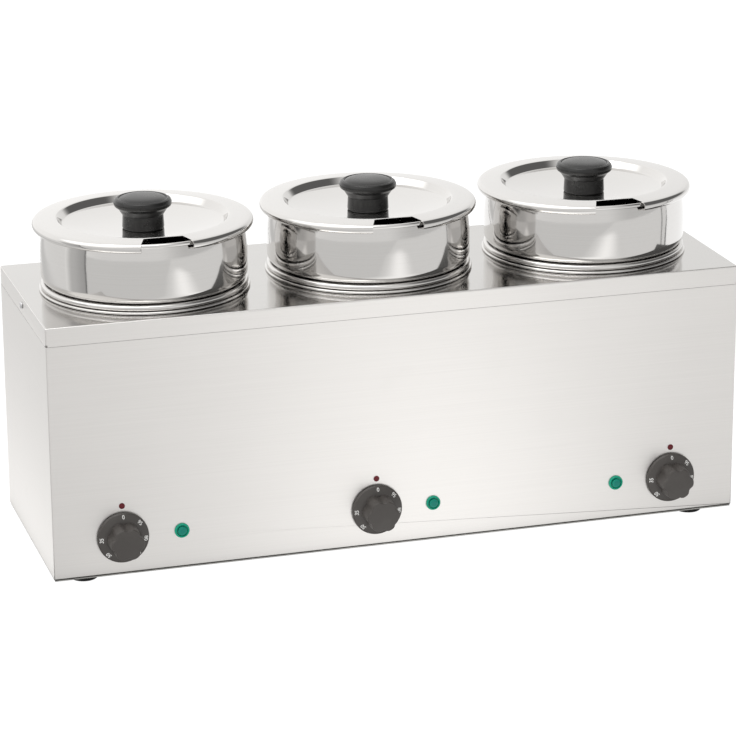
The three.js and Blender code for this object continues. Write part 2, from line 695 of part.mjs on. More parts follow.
// The lens is a cap with a flange on the panel and a neck through it.
function lampLens(x) {
  const onPanel = FRONT_Y - FIT_GAP;
  const neckEnd = FRONT_Y + SHEET + LAMP_NECK_BEYOND_PANEL;
  return turnedAlongY(
    [
      [0, onPanel - LAMP_LENS_PROUD],
      [LAMP_LENS_RADIUS - LAMP_EDGE, onPanel - LAMP_LENS_PROUD],
      [LAMP_LENS_RADIUS, onPanel - LAMP_LENS_PROUD + LAMP_EDGE],
      [LAMP_LENS_RADIUS, onPanel - LAMP_FLANGE],
      [LAMP_FLANGE_RADIUS, onPanel - LAMP_FLANGE / 2],
      [LAMP_FLANGE_RADIUS, onPanel],
      [LAMP_NECK_RADIUS, onPanel],
      [LAMP_NECK_RADIUS, neckEnd],
      [0, neckEnd],
    ],
    x, CONTROL_Z,
  );
}

function lampBody(x) {
  const start = FRONT_Y + SHEET + LAMP_NECK_BEYOND_PANEL + FIT_GAP;
  return turnedAlongY(
    [
      [0, start],
      [LAMP_FLANGE_RADIUS, start],
      [LAMP_FLANGE_RADIUS, start + LAMP_COLLAR],
      [LAMP_NECK_RADIUS, start + LAMP_COLLAR + LAMP_EDGE],
      [LAMP_NECK_RADIUS, start + LAMP_BODY_LENGTH],
      [0, start + LAMP_BODY_LENGTH],
    ],
    x, CONTROL_Z,
  );
}

function indexDot(x) {
  const onPanel = FRONT_Y - FIT_GAP;
  return turnedAlongY(
    [
      [0, onPanel - DOT_PROUD],
      [DOT_RADIUS * DOT_CROWN_WIDTH, onPanel - DOT_PROUD * DOT_CROWN_HEIGHT],
      [DOT_RADIUS, onPanel],
      [DOT_STUD_RADIUS, onPanel],
      [DOT_STUD_RADIUS, FRONT_Y + SHEET + DOT_STUD_BEYOND],
      [0, FRONT_Y + SHEET + DOT_STUD_BEYOND],
    ],
    x, DOT_Z,
  );
}

// Heating: an element ring under each well, a clamp plate under it, and the thermostat's bulb

// The element is an open ring whose two ends turn down as terminal legs at the rear.
class ElementCurve extends THREE.Curve {
  constructor(centreX) {
    super();
    this.centreX = centreX;
  }

  getPoint(t, target = new THREE.Vector3()) {
    const ringShare = THREE.MathUtils.clamp((t - ELEMENT_LEG_SHARE) / (1 - 2 * ELEMENT_LEG_SHARE), 0, 1);
    const angle = ELEMENT_GAP_ANGLE / 2 + ringShare * (2 * Math.PI - ELEMENT_GAP_ANGLE);
    const intoLeg = Math.max(ELEMENT_LEG_SHARE - t, t - 1 + ELEMENT_LEG_SHARE, 0) / ELEMENT_LEG_SHARE;
    const bend = Math.min(2 * intoLeg, 1);
    const radius = ELEMENT_RING + 2 * ELEMENT_TUBE * Math.sin((bend * Math.PI) / 2);
    return target.set(
      this.centreX + radius * Math.sin(angle),
      WELL_Y + radius * Math.cos(angle),
      ELEMENT_Z - ELEMENT_LEG * intoLeg * bend,
    );
  }
}

function elementTube(centreX) {
  return tubeAlong(new ElementCurve(centreX), ELEMENT_TUBE, ELEMENT_STEPS);
}

// A plate under the element screws onto the well's stud and presses the element up against it.
function elementClamp() {
  const top = CLAMP_Z + SHEET;
  const bore = STUD_RADIUS + FIT_GAP;
  const radius = ELEMENT_RING - ELEMENT_TUBE / 2;
  const plate = turned(
    [
      [bore, CLAMP_Z - CLAMP_BOSS],
      [bore + CLAMP_BOSS, CLAMP_Z - CLAMP_BOSS],
      [bore + CLAMP_BOSS, CLAMP_Z],
      [radius, CLAMP_Z],
      [radius, top],
      [bore, top],
      [bore, CLAMP_Z - CLAMP_BOSS],
    ],
    ROUND_SMALL,
  );
  const passage = turned(discOutline(CAPILLARY_HOLE, CLAMP_Z - SHEET, top + SHEET), ROUND_TINY);
  return geometryOf(cutFrom(solid(plate), passage.translate(RISER_X, -BULB_FROM_AXIS, 0)));
}

function bulbAndCapillary(x, knobX) {
  const reachUp = WELL_FLOOR_Z - WELL_SHEET - FIT_GAP - BULB_RADIUS;
  const canBack = FRONT_Y + SHEET + THERMOSTAT_NECK + THERMOSTAT_DEPTH;
  const start = new THREE.Vector3(knobX, canBack + 2 * FIT_GAP, CONTROL_Z + THERMOSTAT_ABOVE_SPINDLE);
  const bulbStart = new THREE.Vector3(x - BULB_LENGTH / 2, WELL_Y - BULB_FROM_AXIS, reachUp);
  const riser = new THREE.Vector3(x + RISER_X, bulbStart.y, reachUp);
  const curve = new THREE.CatmullRomCurve3([
    start,
    new THREE.Vector3(knobX, canBack + CAPILLARY_FROM_CAN, CONTROL_Z + CAPILLARY_BEND),
    new THREE.Vector3(
      (knobX + riser.x) / 2, canBack + CAPILLARY_FROM_CAN + CAPILLARY_BEND, (CONTROL_Z + reachUp) / 2,
    ),
    new THREE.Vector3(riser.x, riser.y, ELEMENT_Z - 4 * ELEMENT_TUBE),
    new THREE.Vector3(riser.x, riser.y, ELEMENT_Z - ELEMENT_TUBE),
    new THREE.Vector3(bulbStart.x - CAPILLARY_RISER / 2, riser.y, reachUp),
    new THREE.Vector3(bulbStart.x + OVERLAP, bulbStart.y, reachUp),
  ]);
  const bulb = turned(discOutline(BULB_RADIUS, 0, BULB_LENGTH), ROUND_TINY)
    .rotateY(Math.PI / 2)
    .translate(bulbStart.x, bulbStart.y, bulbStart.z);
  return geometryOf(joined(tubeAlong(curve, CAPILLARY_RADIUS, CAPILLARY_STEPS), bulb));
}

// Supply: a gland in the rear panel with its locknut, and a terminal block on the base plate

function hexagon(radius, bore) {
  const outline = new THREE.Shape();
  for (let i = 0; i < 6; i += 1) {
    const angle = (i * Math.PI) / 3;
    const point = [radius * Math.cos(angle), radius * Math.sin(angle)];
    if (i === 0) outline.moveTo(...point);
    else outline.lineTo(...point);
  }
  const hole = new THREE.Path();
  hole.absarc(0, 0, bore, 0, 2 * Math.PI, true);
  outline.holes.push(hole);
  return outline;
}

function cableGland() {
  const onPanel = REAR_Y + FIT_GAP;
  const dome = REAR_Y + GLAND_LENGTH;
  const body = turnedAlongY(
    [
      [0, onPanel - GLAND_TAIL],
      [GLAND_THREAD, onPanel - GLAND_TAIL],
      [GLAND_THREAD, onPanel],
      [GLAND_HEX, onPanel],
      [GLAND_HEX, onPanel + GLAND_FLANGE],
      [GLAND_HEX - GLAND_NUT_INSET, onPanel + GLAND_FLANGE + GLAND_EDGE],
      [GLAND_HEX - GLAND_NUT_INSET, dome - GLAND_DOME],
      [GLAND_BORE + GLAND_MOUTH, dome],
      [0, dome],
    ],
    GLAND_X, GLAND_Z, ROUND_SMALL,
  );
  const bore = rodAlongY(
    GLAND_X, GLAND_Z, GLAND_BORE, onPanel - GLAND_TAIL - OVERLAP, dome + OVERLAP, ROUND_TINY,
  );
  return geometryOf(cutFrom(solid(body), bore));
}

function glandLocknut() {
  const shape = hexagon(GLAND_HEX, GLAND_THREAD + FIT_GAP);
  const nut = new THREE.ExtrudeGeometry(shape, {
    depth: LOCKNUT_THICKNESS, bevelEnabled: false, curveSegments: ROUND_SMALL,
  });
  return nut.rotateX(Math.PI / 2).translate(GLAND_X, REAR_Y - SHEET - FIT_GAP, GLAND_Z);
}

function terminalBlock() {
  const [length, depth, height] = TERMINAL_SIZE;
  const x = SIDE_X - TERMINAL_FROM_SIDE;
  const y = REAR_Y - TERMINAL_FROM_REAR;
  const low = BASE_Z + SHEET + FIT_GAP;
  const body = solid(
    block(x - length / 2, x + length / 2, y - depth / 2, y + depth / 2, low, low + height),
  );
  const pitch = length / TERMINAL_WAYS;
  const grooves = [];
  for (let i = 1; i < TERMINAL_WAYS; i += 1) {
    const at = x - length / 2 + i * pitch;
    const half = TERMINAL_GROOVE / 2;
    grooves.push(
      block(at - half, at + half, y - depth, y + depth, low + height / 2, low + 2 * height),
    );
  }
  return geometryOf(cutFrom(body, ...grooves));
}

// Assembly

place("top_deck", topDeck(), BRUSHED_STEEL);
place("housing_shell", housingShell(), BRUSHED_STEEL);
place("rear_panel", rearPanel(), BRUSHED_STEEL);
place("base_plate", basePlate(), PLAIN_STEEL);
for (const { name, x, y } of FEET) {
  place(name, foot(), BLACK_RUBBER).position.set(x, y, 0);
}
place("deck_screw_left", deckScrew(-1), PLAIN_STEEL);
place("deck_screw_right", deckScrew(1), PLAIN_STEEL);
place("cable_gland", cableGland(), BLACK_PLASTIC);
place("gland_locknut", glandLocknut(), BLACK_PLASTIC);
place("terminal_block", terminalBlock(), WHITE_CERAMIC);

for (const { name, x, knobX, lampX } of STATIONS) {
  const station = new THREE.Group();
  station.position.set(x, WELL_Y, 0);
  kettle.add(station);
  place(`well_${name}`, wellTank(), PLAIN_STEEL, station);
  place(`well_ring_${name}`, wellRing(), POLISHED_STEEL, station);
  place(`pot_${name}`, pot(), POLISHED_STEEL, station);
  place(`lid_knob_screw_${name}`, lidScrew(), PLAIN_STEEL, station);
  place(`element_clamp_${name}`, elementClamp(), PLAIN_STEEL, station);
  place(`lid_${name}`, lid(x), POLISHED_STEEL);
  place(`lid_knob_${name}`, lidKnob(x), BLACK_PLASTIC);
  place(`heating_element_${name}`, elementTube(x), PLAIN_STEEL);
  place(`thermostat_bulb_${name}`, bulbAndCapillary(x, knobX), COPPER);
  place(`thermostat_${name}`, thermostat(knobX), PLAIN_STEEL);
  place(`thermostat_spindle_${name}`, spindle(knobX), PLAIN_STEEL);
  place(`control_knob_${name}`, controlKnob(knobX), CHARCOAL_PLASTIC);
  place(`pilot_lamp_lens_${name}`, lampLens(lampX), GREEN_LENS);
  place(`pilot_lamp_body_${name}`, lampBody(lampX), BLACK_PLASTIC);
  place(`index_dot_${name}`, indexDot(knobX), RED_DOT);
}

export default kettle;
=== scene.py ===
"""A three-pot soup kettle: brushed housing, polished pots and lids, black grips, dial knobs and lamps."""
import math

import bmesh
import bpy
from mathutils import Matrix, Vector


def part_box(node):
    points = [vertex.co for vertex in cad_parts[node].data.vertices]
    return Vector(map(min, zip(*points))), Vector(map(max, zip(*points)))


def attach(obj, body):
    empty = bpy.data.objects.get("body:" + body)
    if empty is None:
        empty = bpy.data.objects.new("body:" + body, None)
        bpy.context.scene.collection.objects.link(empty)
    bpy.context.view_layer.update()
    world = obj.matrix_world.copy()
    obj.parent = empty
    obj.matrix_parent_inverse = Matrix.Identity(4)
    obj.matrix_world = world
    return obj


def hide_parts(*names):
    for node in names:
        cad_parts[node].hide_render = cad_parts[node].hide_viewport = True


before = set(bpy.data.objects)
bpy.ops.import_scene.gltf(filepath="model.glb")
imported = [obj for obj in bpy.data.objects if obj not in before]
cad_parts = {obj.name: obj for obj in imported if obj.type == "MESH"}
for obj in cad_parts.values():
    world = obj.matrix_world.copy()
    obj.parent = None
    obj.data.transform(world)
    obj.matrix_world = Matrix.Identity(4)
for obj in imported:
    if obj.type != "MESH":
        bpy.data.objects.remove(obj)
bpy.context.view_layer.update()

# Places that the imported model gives, in metres
deck_low, deck_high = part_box("top_deck")
DECK_TOP = deck_high.z
SIDE = deck_high.x
FRONT = deck_low.y
REAR = deck_high.y
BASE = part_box("base_plate")[0].z
STATIONS = ("1", "2", "3")

# Roundness of turned pieces
FINE_STEPS = 144
ROUND_STEPS = 72
SMALL_STEPS = 40
RIM_STEPS = 18
BEAD_STEPS = 14
CURVE_STEPS = 12
TAPER_STEPS = 8
CORNER_STEPS = 6
CREASE = 32
WELD = 1e-6
FLAT_WITHIN = 0.5

# Room that touching pieces keep, and how far a cutting tool reaches past its piece
GAP = 0.0003
PAST = 0.01

# Sheet metal
SHEET = 0.0012
FOLD_RADIUS = 0.0016
FOLD_STEPS = 4
CORNER_NOTCH = 0.0022
RIM_BEAD = 0.0029
WELL_DEPTH = 0.12
WELL_CORNER = 0.012
WELL_WALL = 0.001
WELL_STUD = 0.003
WELL_RIM_WIDTH = 0.0092
RING_CLEAR = 0.0013

# Feet, deck screws and cable gland
FOOT_STEM = 0.004
SCREW_SHANK = 0.0019
SCREW_HEAD = 0.0018
SCREW_CROSS = (0.0021, 0.00045, 0.0008)
GLAND_THREAD = 0.01
GLAND_BORE = 0.0046
GLAND_FLANGE = 0.006
GLAND_RIBS = 18
GLAND_RIB_HALF = 0.0005

# Pots and lids
POT_WALL = 0.0012
POT_CORNER = 0.012
POT_NECK_STEP = 0.0021
POT_BULGE = 0.0074
POT_SHOULDER = 0.012
POT_SHOULDER_HEIGHT = 0.0185
POT_STRAIGHT = 0.0155
POT_TAPER = 0.15
POT_RIM_BEAD = 0.0022
POT_SEAT_UNDER_BEAD = 0.00378
LID_THICKNESS = 0.0012
LID_FLANGE_WIDTH = 0.0247
LID_STEP_WIDTH = 0.005
LID_DISH = 0.0058
LID_CROWN = 0.0012
LID_EDGE = 0.0047
LID_EDGE_START = 82
LID_EDGE_CURL = -68
LID_FOLD = 0.0022
LID_CREASE = 50
LID_STEM = 0.021
LID_STEM_LAND = 0.002
LID_KNOB_CAP = 0.013
LID_KNOB_BORE = 0.0028
LID_KNOB_BORE_DEPTH = 0.016
NOTCH_HALF_INNER = 0.0195
NOTCH_HALF_OUTER = 0.028
NOTCH_FROM_STEP = 0.003

# Controls
GRIP_RADIUS = 0.018
GRIP_SCALLOPS = 6
GRIP_SCALLOP_POINTS = 20
GRIP_SCALLOP_DEPTH = 0.0026
GRIP_TAPER = 0.93
GRIP_ROUNDING = 0.0014
GRIP_BORE = 0.0033
GRIP_BORE_DEPTH = 0.016
SKIRT_THICKNESS = 0.0035
SKIRT_RISE = 0.002
DIAL_EDGE = 0.001
DIAL_FOOT = 0.0012
DIAL_MARKS = (("0", 0), ("95", 48), ("80", 95), ("65", 140), ("50", 225), ("35", 270))
MARK_SIZE = 0.0054
MARK_BOLD = 0.00006
MARK_OUTWARD = 0.0002
MARK_PROUD = 0.00006
LAMP_NECK = 0.0056
LAMP_LENS = 0.0044
LAMP_BEZEL = 0.0021
LAMP_GROOVE = 0.0007


def middle(node):
    low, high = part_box(node)
    return (low + high) / 2


def half_width(node):
    low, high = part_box(node)
    return (high.x - low.x) / 2


# Shader writing

class Flow:
    """A shader socket that can stand in an expression."""

    def __init__(self, finish, socket):
        self.finish = finish
        self.socket = socket

    def maths(self, operation, first, second):
        return self.finish.node("ShaderNodeMath", {"operation": operation}, {0: first, 1: second})

    def __add__(self, other):
        return self.maths("ADD", self, other)

    def __mul__(self, other):
        return self.maths("MULTIPLY", self, other)

    def __sub__(self, other):
        return self.maths("SUBTRACT", self, other)

    def __rsub__(self, other):
        return self.maths("SUBTRACT", other, self)

    def __truediv__(self, other):
        return self.maths("DIVIDE", self, other)

    def __pow__(self, other):
        return self.maths("POWER", self, other)

    __radd__ = __add__
    __rmul__ = __mul__


class Finish:
    """A material, or the studio's surroundings, and the nodes that give its look."""

    def __init__(self, name, library=bpy.data.materials):
        self.material = library.new(name)
        self.material.use_nodes = True
        self.tree = self.material.node_tree
        self.tree.nodes.clear()

    def node(self, kind, settings=None, sockets=None, out=0):
        made = self.tree.nodes.new(kind)
        for key, value in (settings or {}).items():
            setattr(made, key, value)
        for key, value in (sockets or {}).items():
            if isinstance(value, Flow):
                self.tree.links.new(value.socket, made.inputs[key])
            else:
                made.inputs[key].default_value = value
        return Flow(self, made.outputs[out]) if made.outputs else None

    def place(self, centre=(0, 0, 0), scale=(1, 1, 1), turn=(0, 0, 0)):
        """Object coordinates measured from a centre, stretched by a scale."""
        coordinates = self.node("ShaderNodeTexCoord", out=3)
        moved = self.node(
            "ShaderNodeVectorMath", {"operation": "SUBTRACT"}, {0: coordinates, 1: centre},
        )
        return self.node(
            "ShaderNodeMapping", {"vector_type": "POINT"},
            {"Vector": moved, "Rotation": turn, "Scale": scale},
        )

    def parts(self, vector):
        """The three coordinates of a vector, as values."""
        split = self.node("ShaderNodeSeparateXYZ", {}, {0: vector})
        return [Flow(self, socket) for socket in split.socket.node.outputs]

    def noise(self, vector, scale, detail=3, roughness=0.5):
        return self.node(
            "ShaderNodeTexNoise", {},
            {"Vector": vector, "Scale": scale, "Detail": detail, "Roughness": roughness},
        )

    def stepped(self, value, low, high):
        """Carries a value between two limits to the range from 0 to 1."""
        return self.node(
            "ShaderNodeMapRange", {"interpolation_type": "SMOOTHSTEP"},
            {"Value": value, "From Min": low, "From Max": high},
        )

    def blend(self, factor, first, second):
        """A colour between two colours."""
        return self.node(
            "ShaderNodeMix", {"data_type": "RGBA"},
            {0: factor, 6: colour(first), 7: colour(second)}, out=2,
        )

    def bump(self, height, strength, distance, under=None):
        sockets = {"Height": height, "Strength": strength, "Distance": distance}
        if under is not None:
            sockets["Normal"] = under
        return self.node("ShaderNodeBump", {}, sockets)

    def surface(self, sockets):
        shader = self.node("ShaderNodeBsdfPrincipled", {}, sockets)
        self.node("ShaderNodeOutputMaterial", {}, {"Surface": shader})
        return self.material


def colour(value):
    if isinstance(value, Flow) or len(value) == 4:
        return value
    return (*value, 1)


# Finishes

BRUSHED_LIGHT = (0.795, 0.778, 0.760)
BRUSHED_DARK = (0.755, 0.738, 0.720)
DECK_LIGHT = (0.585, 0.575, 0.562)
DECK_DARK = (0.545, 0.535, 0.522)
GRAIN_LENGTH = 9
GRAIN_FINENESS = 2400
SPUN_LIGHT = (0.69, 0.677, 0.664)
SPUN_DARK = (0.668, 0.656, 0.642)


def brushed_steel(name, along, base_roughness, grain=0.06, light=BRUSHED_LIGHT, dark=BRUSHED_DARK):
    """Sheet brushed in one direction: long fine scratches, soft patches and a few finger marks."""
    finish = Finish(name)
    stretch = [GRAIN_LENGTH if axis == along else GRAIN_FINENESS for axis in "XYZ"]
    scratches = finish.noise(finish.place(scale=stretch), 1, detail=4, roughness=0.62)
    coarse = finish.noise(finish.place(scale=[reach / 3 for reach in stretch]), 1, detail=2)
    patches = finish.noise(finish.place(), 7, detail=3)
    smudges = finish.stepped(finish.noise(finish.place(), 22, detail=5, roughness=0.6), 0.58, 0.75)
    streaks = scratches * 0.65 + coarse * 0.35
    tint = finish.blend(finish.stepped(streaks * 0.75 + patches * 0.25, 0.3, 0.7), dark, light)
    rough = (streaks - 0.5) * 0.06 + (patches - 0.5) * 0.05 + smudges * 0.03 + base_roughness
    return finish.surface({
        "Base Color": tint,
        "Metallic": 1.0,
        "Roughness": rough,
        "Normal": finish.bump(streaks, grain, 0.00006),
    })


def spun_steel(name, centre, base_roughness=0.08, line_strength=0.008):
    """Polished spun steel: faint turning lines round the axis, a little haze and hairline scratches."""
    finish = Finish(name)
    centre = (centre.x, centre.y, 0)
    about_axis = finish.place(centre=centre)
    x, y, z = finish.parts(about_axis)
    radius = (x * x + y * y) ** 0.5
    turning = finish.node("ShaderNodeTexNoise", {"noise_dimensions": "1D"}, {
        "W": radius + z * 0.83, "Scale": 900, "Detail": 4, "Roughness": 0.6,
    })
    haze = finish.noise(about_axis, 16, detail=4)
    askew = finish.place(centre=centre, scale=(30, 400, 60), turn=(0.3, 0.5, 0.7))
    hairlines = finish.stepped(finish.noise(askew, 1, detail=2), 0.66, 0.74)
    tint = finish.blend(finish.stepped(turning * 0.6 + haze * 0.4, 0.3, 0.7), SPUN_DARK, SPUN_LIGHT)
    rough = (turning - 0.5) * 0.02 + (haze - 0.5) * 0.04 + hairlines * 0.03 + base_roughness
    height = turning + hairlines * 0.3
    return finish.surface({
        "Base Color": tint,
        "Metallic": 1.0,
        "Roughness": rough,
        "Normal": finish.bump(height, line_strength, 0.00002),
    })


def mill_steel(name, base=(0.56, 0.55, 0.53)):
    """Plain steel as it leaves the mill: mottled, dull, lightly scuffed."""
    finish = Finish(name)
    mottling = finish.noise(finish.place(), 55, detail=6, roughness=0.65)
    scuffs = finish.stepped(finish.noise(finish.place(scale=(60, 500, 200)), 1, detail=3), 0.6, 0.75)
    darker = tuple(c * 0.72 for c in base)
    return finish.surface({
        "Base Color": finish.blend(finish.stepped(mottling, 0.3, 0.7), darker, base),
        "Metallic": 1.0,
        "Roughness": mottling * 0.2 + scuffs * 0.1 + 0.28,
        "Normal": finish.bump(mottling + scuffs * 0.4, 0.2, 0.0001),
    })


def moulded_plastic(name, base, worn, base_roughness, grain_scale=900, grain=0.25, specular=0.5):
    """Moulded plastic with a fine spark-eroded grain, polished a little where hands rub it."""
    finish = Finish(name)
    grain_height = finish.noise(finish.place(), grain_scale, detail=3, roughness=0.6)
    rubbed = finish.stepped(finish.noise(finish.place(), 38, detail=4), 0.35, 0.7)
    specks = finish.stepped(finish.noise(finish.place(), 1500, detail=1), 0.72, 0.8)
    tint = finish.blend(rubbed * 0.5 + specks * 0.5, base, worn)
    return finish.surface({
        "Base Color": tint,
        "Roughness": (grain_height - 0.5) * 0.12 - rubbed * 0.07 + base_roughness,
        "Specular IOR Level": specular,
        "Normal": finish.bump(grain_height, grain, 0.00004),
    })


def lamp_green(name, centre, rim_radius):
    """Clear green lens: brighter at its rim, deeper towards the middle, with faint ribs inside."""
    finish = Finish(name)
    about = finish.place(centre=centre)
    x, _, z = finish.parts(about)
    outward = (x * x + z * z) ** 0.5 / rim_radius
    clouding = finish.noise(about, 420, detail=3)
    ribs = finish.node("ShaderNodeTexWave", {"wave_type": "RINGS", "rings_direction": "Y"}, {
        "Vector": about, "Scale": 320, "Distortion": 0.4,
    })
    deep = finish.blend(finish.stepped(outward, 0.25, 1.0), (0.0015, 0.20, 0.15), (0.006, 0.36, 0.22))
    tint = finish.blend(clouding * 0.2 + ribs * 0.1, deep, (0.0, 0.11, 0.085))
    return finish.surface({
        "Base Color": tint,
        "Roughness": clouding * 0.15 + 0.16,
        "Coat Weight": 0.1,
        "Coat Roughness": 0.1,
        "Specular IOR Level": 0.2,
        "Normal": finish.bump(ribs + clouding * 0.4, 0.2, 0.00005),
    })


def dial_ink(name):
    """White printed figures, slightly uneven in their ink."""
    finish = Finish(name)
    ink = finish.noise(finish.place(), 1300, detail=3)
    return finish.surface({
        "Base Color": finish.blend(
            finish.stepped(ink, 0.35, 0.75), (0.86, 0.86, 0.84), (0.55, 0.54, 0.52),
        ),
        "Roughness": ink * 0.2 + 0.45,
    })


def index_red(name):
    """Dark red enamel with a slight orange-peel surface."""
    finish = Finish(name)
    peel = finish.noise(finish.place(), 900, detail=2)
    return finish.surface({
        "Base Color": finish.blend(
            finish.stepped(peel, 0.3, 0.7), (0.085, 0.005, 0.009), (0.14, 0.008, 0.015),
        ),
        "Roughness": peel * 0.15 + 0.3,
        "Specular IOR Level": 0.3,
        "Normal": finish.bump(peel, 0.2, 0.00004),
    })


def glazed_ceramic(name):
    """Cream ceramic under a glaze of uneven depth."""
    finish = Finish(name)
    glaze = finish.noise(finish.place(), 120, detail=4)
    return finish.surface({
        "Base Color": finish.blend(
            finish.stepped(glaze, 0.3, 0.7), (0.70, 0.67, 0.60), (0.82, 0.79, 0.72),
        ),
        "Roughness": glaze * 0.2 + 0.18,
        "Normal": finish.bump(glaze, 0.1, 0.0002),
    })


def drawn_copper(name):
    """Drawn copper tube: fine lines along it and brown tarnish."""
    finish = Finish(name)
    tarnish = finish.noise(finish.place(), 140, detail=5)
    lines = finish.noise(finish.place(scale=(30, 900, 900)), 1, detail=2)
    return finish.surface({
        "Base Color": finish.blend(
            finish.stepped(tarnish, 0.35, 0.7), (0.72, 0.42, 0.27), (0.45, 0.24, 0.15),
        ),
        "Metallic": 1.0,
        "Roughness": tarnish * 0.2 + lines * 0.1 + 0.18,
        "Normal": finish.bump(lines, 0.15, 0.00005),
    })


FRONT_STEEL = brushed_steel("brushed_front", "X", base_roughness=0.34)
SIDE_STEEL = brushed_steel("brushed_sides", "Y", base_roughness=0.34)
DECK_STEEL = brushed_steel(
    "brushed_deck", "X", base_roughness=0.12, grain=0.05, light=DECK_LIGHT, dark=DECK_DARK,
)
REAR_STEEL = brushed_steel("brushed_rear", "X", base_roughness=0.36)
MILL_STEEL = mill_steel("mill_steel")
ZINC_STEEL = mill_steel("zinc_steel", base=(0.66, 0.66, 0.67))
BLACK_PLASTIC = moulded_plastic(
    "black_plastic", (0.009, 0.0088, 0.0086), (0.016, 0.0155, 0.015), 0.31, specular=0.45,
)
CHARCOAL = moulded_plastic(
    "charcoal_plastic", (0.056, 0.050, 0.046), (0.072, 0.066, 0.061), 0.43, grain=0.4, specular=0.4,
)
RUBBER = moulded_plastic(
    "black_rubber", (0.012, 0.012, 0.012), (0.03, 0.029, 0.028), 0.78,
    grain_scale=500, grain=0.5, specular=0.3,
)
INK = dial_ink("dial_ink")
RED = index_red("index_red")
CERAMIC = glazed_ceramic("glazed_ceramic")
COPPER = drawn_copper("drawn_copper")


# Making pieces

def arc(radius_at, height_at, radius, start, end, steps):
    """Points along a round stretch of an outline, between two angles in degrees."""
    angles = [math.radians(start + (end - start) * i / steps) for i in range(steps + 1)]
    return [(radius_at + radius * math.cos(a), height_at + radius * math.sin(a)) for a in angles]


def eased(corners, steps=5):
    """An outline whose corners that name a radius are rounded with it."""
    points = []
    for i, corner in enumerate(corners):
        at = Vector(corner[:2])
        if len(corner) < 3:
            points.append(tuple(at))
            continue
        back = (Vector(corners[i - 1][:2]) - at).normalized()
        ahead = (Vector(corners[(i + 1) % len(corners)][:2]) - at).normalized()
        half = back.angle(ahead) / 2
        round_centre = at + (back + ahead).normalized() * corner[2] / math.sin(half)
        start = at + back * corner[2] / math.tan(half)
        end = at + ahead * corner[2] / math.tan(half)
        for step in range(steps + 1):
            spoke = start.lerp(end, step / steps) - round_centre
            points.append(tuple(round_centre + spoke.normalized() * corner[2]))
    return points


def turned(outline, steps=FINE_STEPS, closed=True):
    """An outline of radius and height spun round the upright axis."""
    shape = bmesh.new()
    points = [shape.verts.new((radius, 0, height)) for radius, height in outline]
    lines = [shape.edges.new(pair) for pair in zip(points, points[1:])]
    if closed and outline[0][0] > WELD:
        lines.append(shape.edges.new((points[-1], points[0])))
    bmesh.ops.spin(
        shape, geom=points + lines, cent=(0, 0, 0), axis=(0, 0, 1),
        angle=2 * math.pi, steps=steps, use_merge=True,
    )
    bmesh.ops.remove_doubles(shape, verts=shape.verts, dist=WELD)
    bmesh.ops.recalc_face_normals(shape, faces=shape.faces)
    return shape


def face_front(shape):
    """Lays an upright shape down, so that its height points to the front."""
    lay_down = Matrix.Rotation(math.pi / 2, 3, "X")
    bmesh.ops.rotate(shape, verts=shape.verts, cent=(0, 0, 0), matrix=lay_down)


def mesh_object(name, shape, materials, centre=(0, 0, 0), crease=CREASE):
    """Turns a bmesh into an object whose edges are sharp where it folds by more than a crease angle."""
    bmesh.ops.translate(shape, verts=shape.verts, vec=centre)
    for face in shape.faces:
        face.smooth = True
    for edge in shape.edges:
        edge.smooth = len(edge.link_faces) == 2 and edge.calc_face_angle(0) < math.radians(crease)
    mesh = bpy.data.meshes.new(name)
    shape.to_mesh(mesh)
    shape.free()
    for material in materials:
        mesh.materials.append(material)
    piece = bpy.data.objects.new(name, mesh)
    bpy.context.scene.collection.objects.link(piece)
    return piece


def apply_modifiers(piece):
    """Bakes a piece's modifiers into its mesh."""
    depsgraph = bpy.context.evaluated_depsgraph_get()
    finished = bpy.data.meshes.new_from_object(piece.evaluated_get(depsgraph))
    piece.modifiers.clear()
    piece.data = finished


def cut_out(piece, tool_shape):
    """Cuts a closed shape out of a piece."""
    tool = mesh_object("cutting_tool", tool_shape, [])
    cut = piece.modifiers.new("cut", "BOOLEAN")
    cut.operation = "DIFFERENCE"
    cut.solver = "EXACT"
    cut.object = tool
    apply_modifiers(piece)
    bpy.data.objects.remove(tool)


def block(low, high):
    """A plain box between two corners, for cutting tools and studio boards."""
    shape = bmesh.new()
    bmesh.ops.create_cube(shape, size=1)
    size = Vector(high) - Vector(low)
    bmesh.ops.scale(shape, verts=shape.verts, vec=size)
    bmesh.ops.translate(shape, verts=shape.verts, vec=Vector(low) + size / 2)
    return shape


def bore_tool(radius, depth):
    """A cutting tool for an upright round bore that starts at the piece's underside."""
    return turned([(0, -PAST), (radius, -PAST), (radius, depth), (0, depth)], SMALL_STEPS)


def raise_faces(shape, height):
    """Extrudes a flat shape upwards and gives the points of its new top."""
    raised = bmesh.ops.extrude_face_region(shape, geom=shape.faces[:])
    top = [item for item in raised["geom"] if isinstance(item, bmesh.types.BMVert)]
    bmesh.ops.translate(shape, verts=top, vec=(0, 0, height))
    return top


def settle(piece, body, slot, *nodes):
    """Attaches a piece to the body that it moves with and hides the model nodes that it stands for; the
    finish slot that it is given is not used.
    """
    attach(piece, body)
    if nodes:
        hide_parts(*nodes)


def weighted(piece):
    """Keeps flat panels flat beside their rounded folds, and splits them without slivers."""
    balance = piece.modifiers.new("weighted", "WEIGHTED_NORMAL")
    balance.keep_sharp = True
    balance.weight = 100
    split = piece.modifiers.new("split", "TRIANGULATE")
    split.ngon_method = "BEAUTY"
    split.keep_custom_normals = True


# Housing

def is_fold(edge, low, high, open_sides):
    """True for an edge where two outer walls of a sheet piece meet."""
    walls = 0
    for axis in range(3):
        for side, limit in enumerate((low[axis], high[axis])):
            on_wall = all(abs(vert.co[axis] - limit) < SHEET / 20 for vert in edge.verts)
            if on_wall and (axis, side) in open_sides:
                return False
            walls += on_wall
    return walls == 2


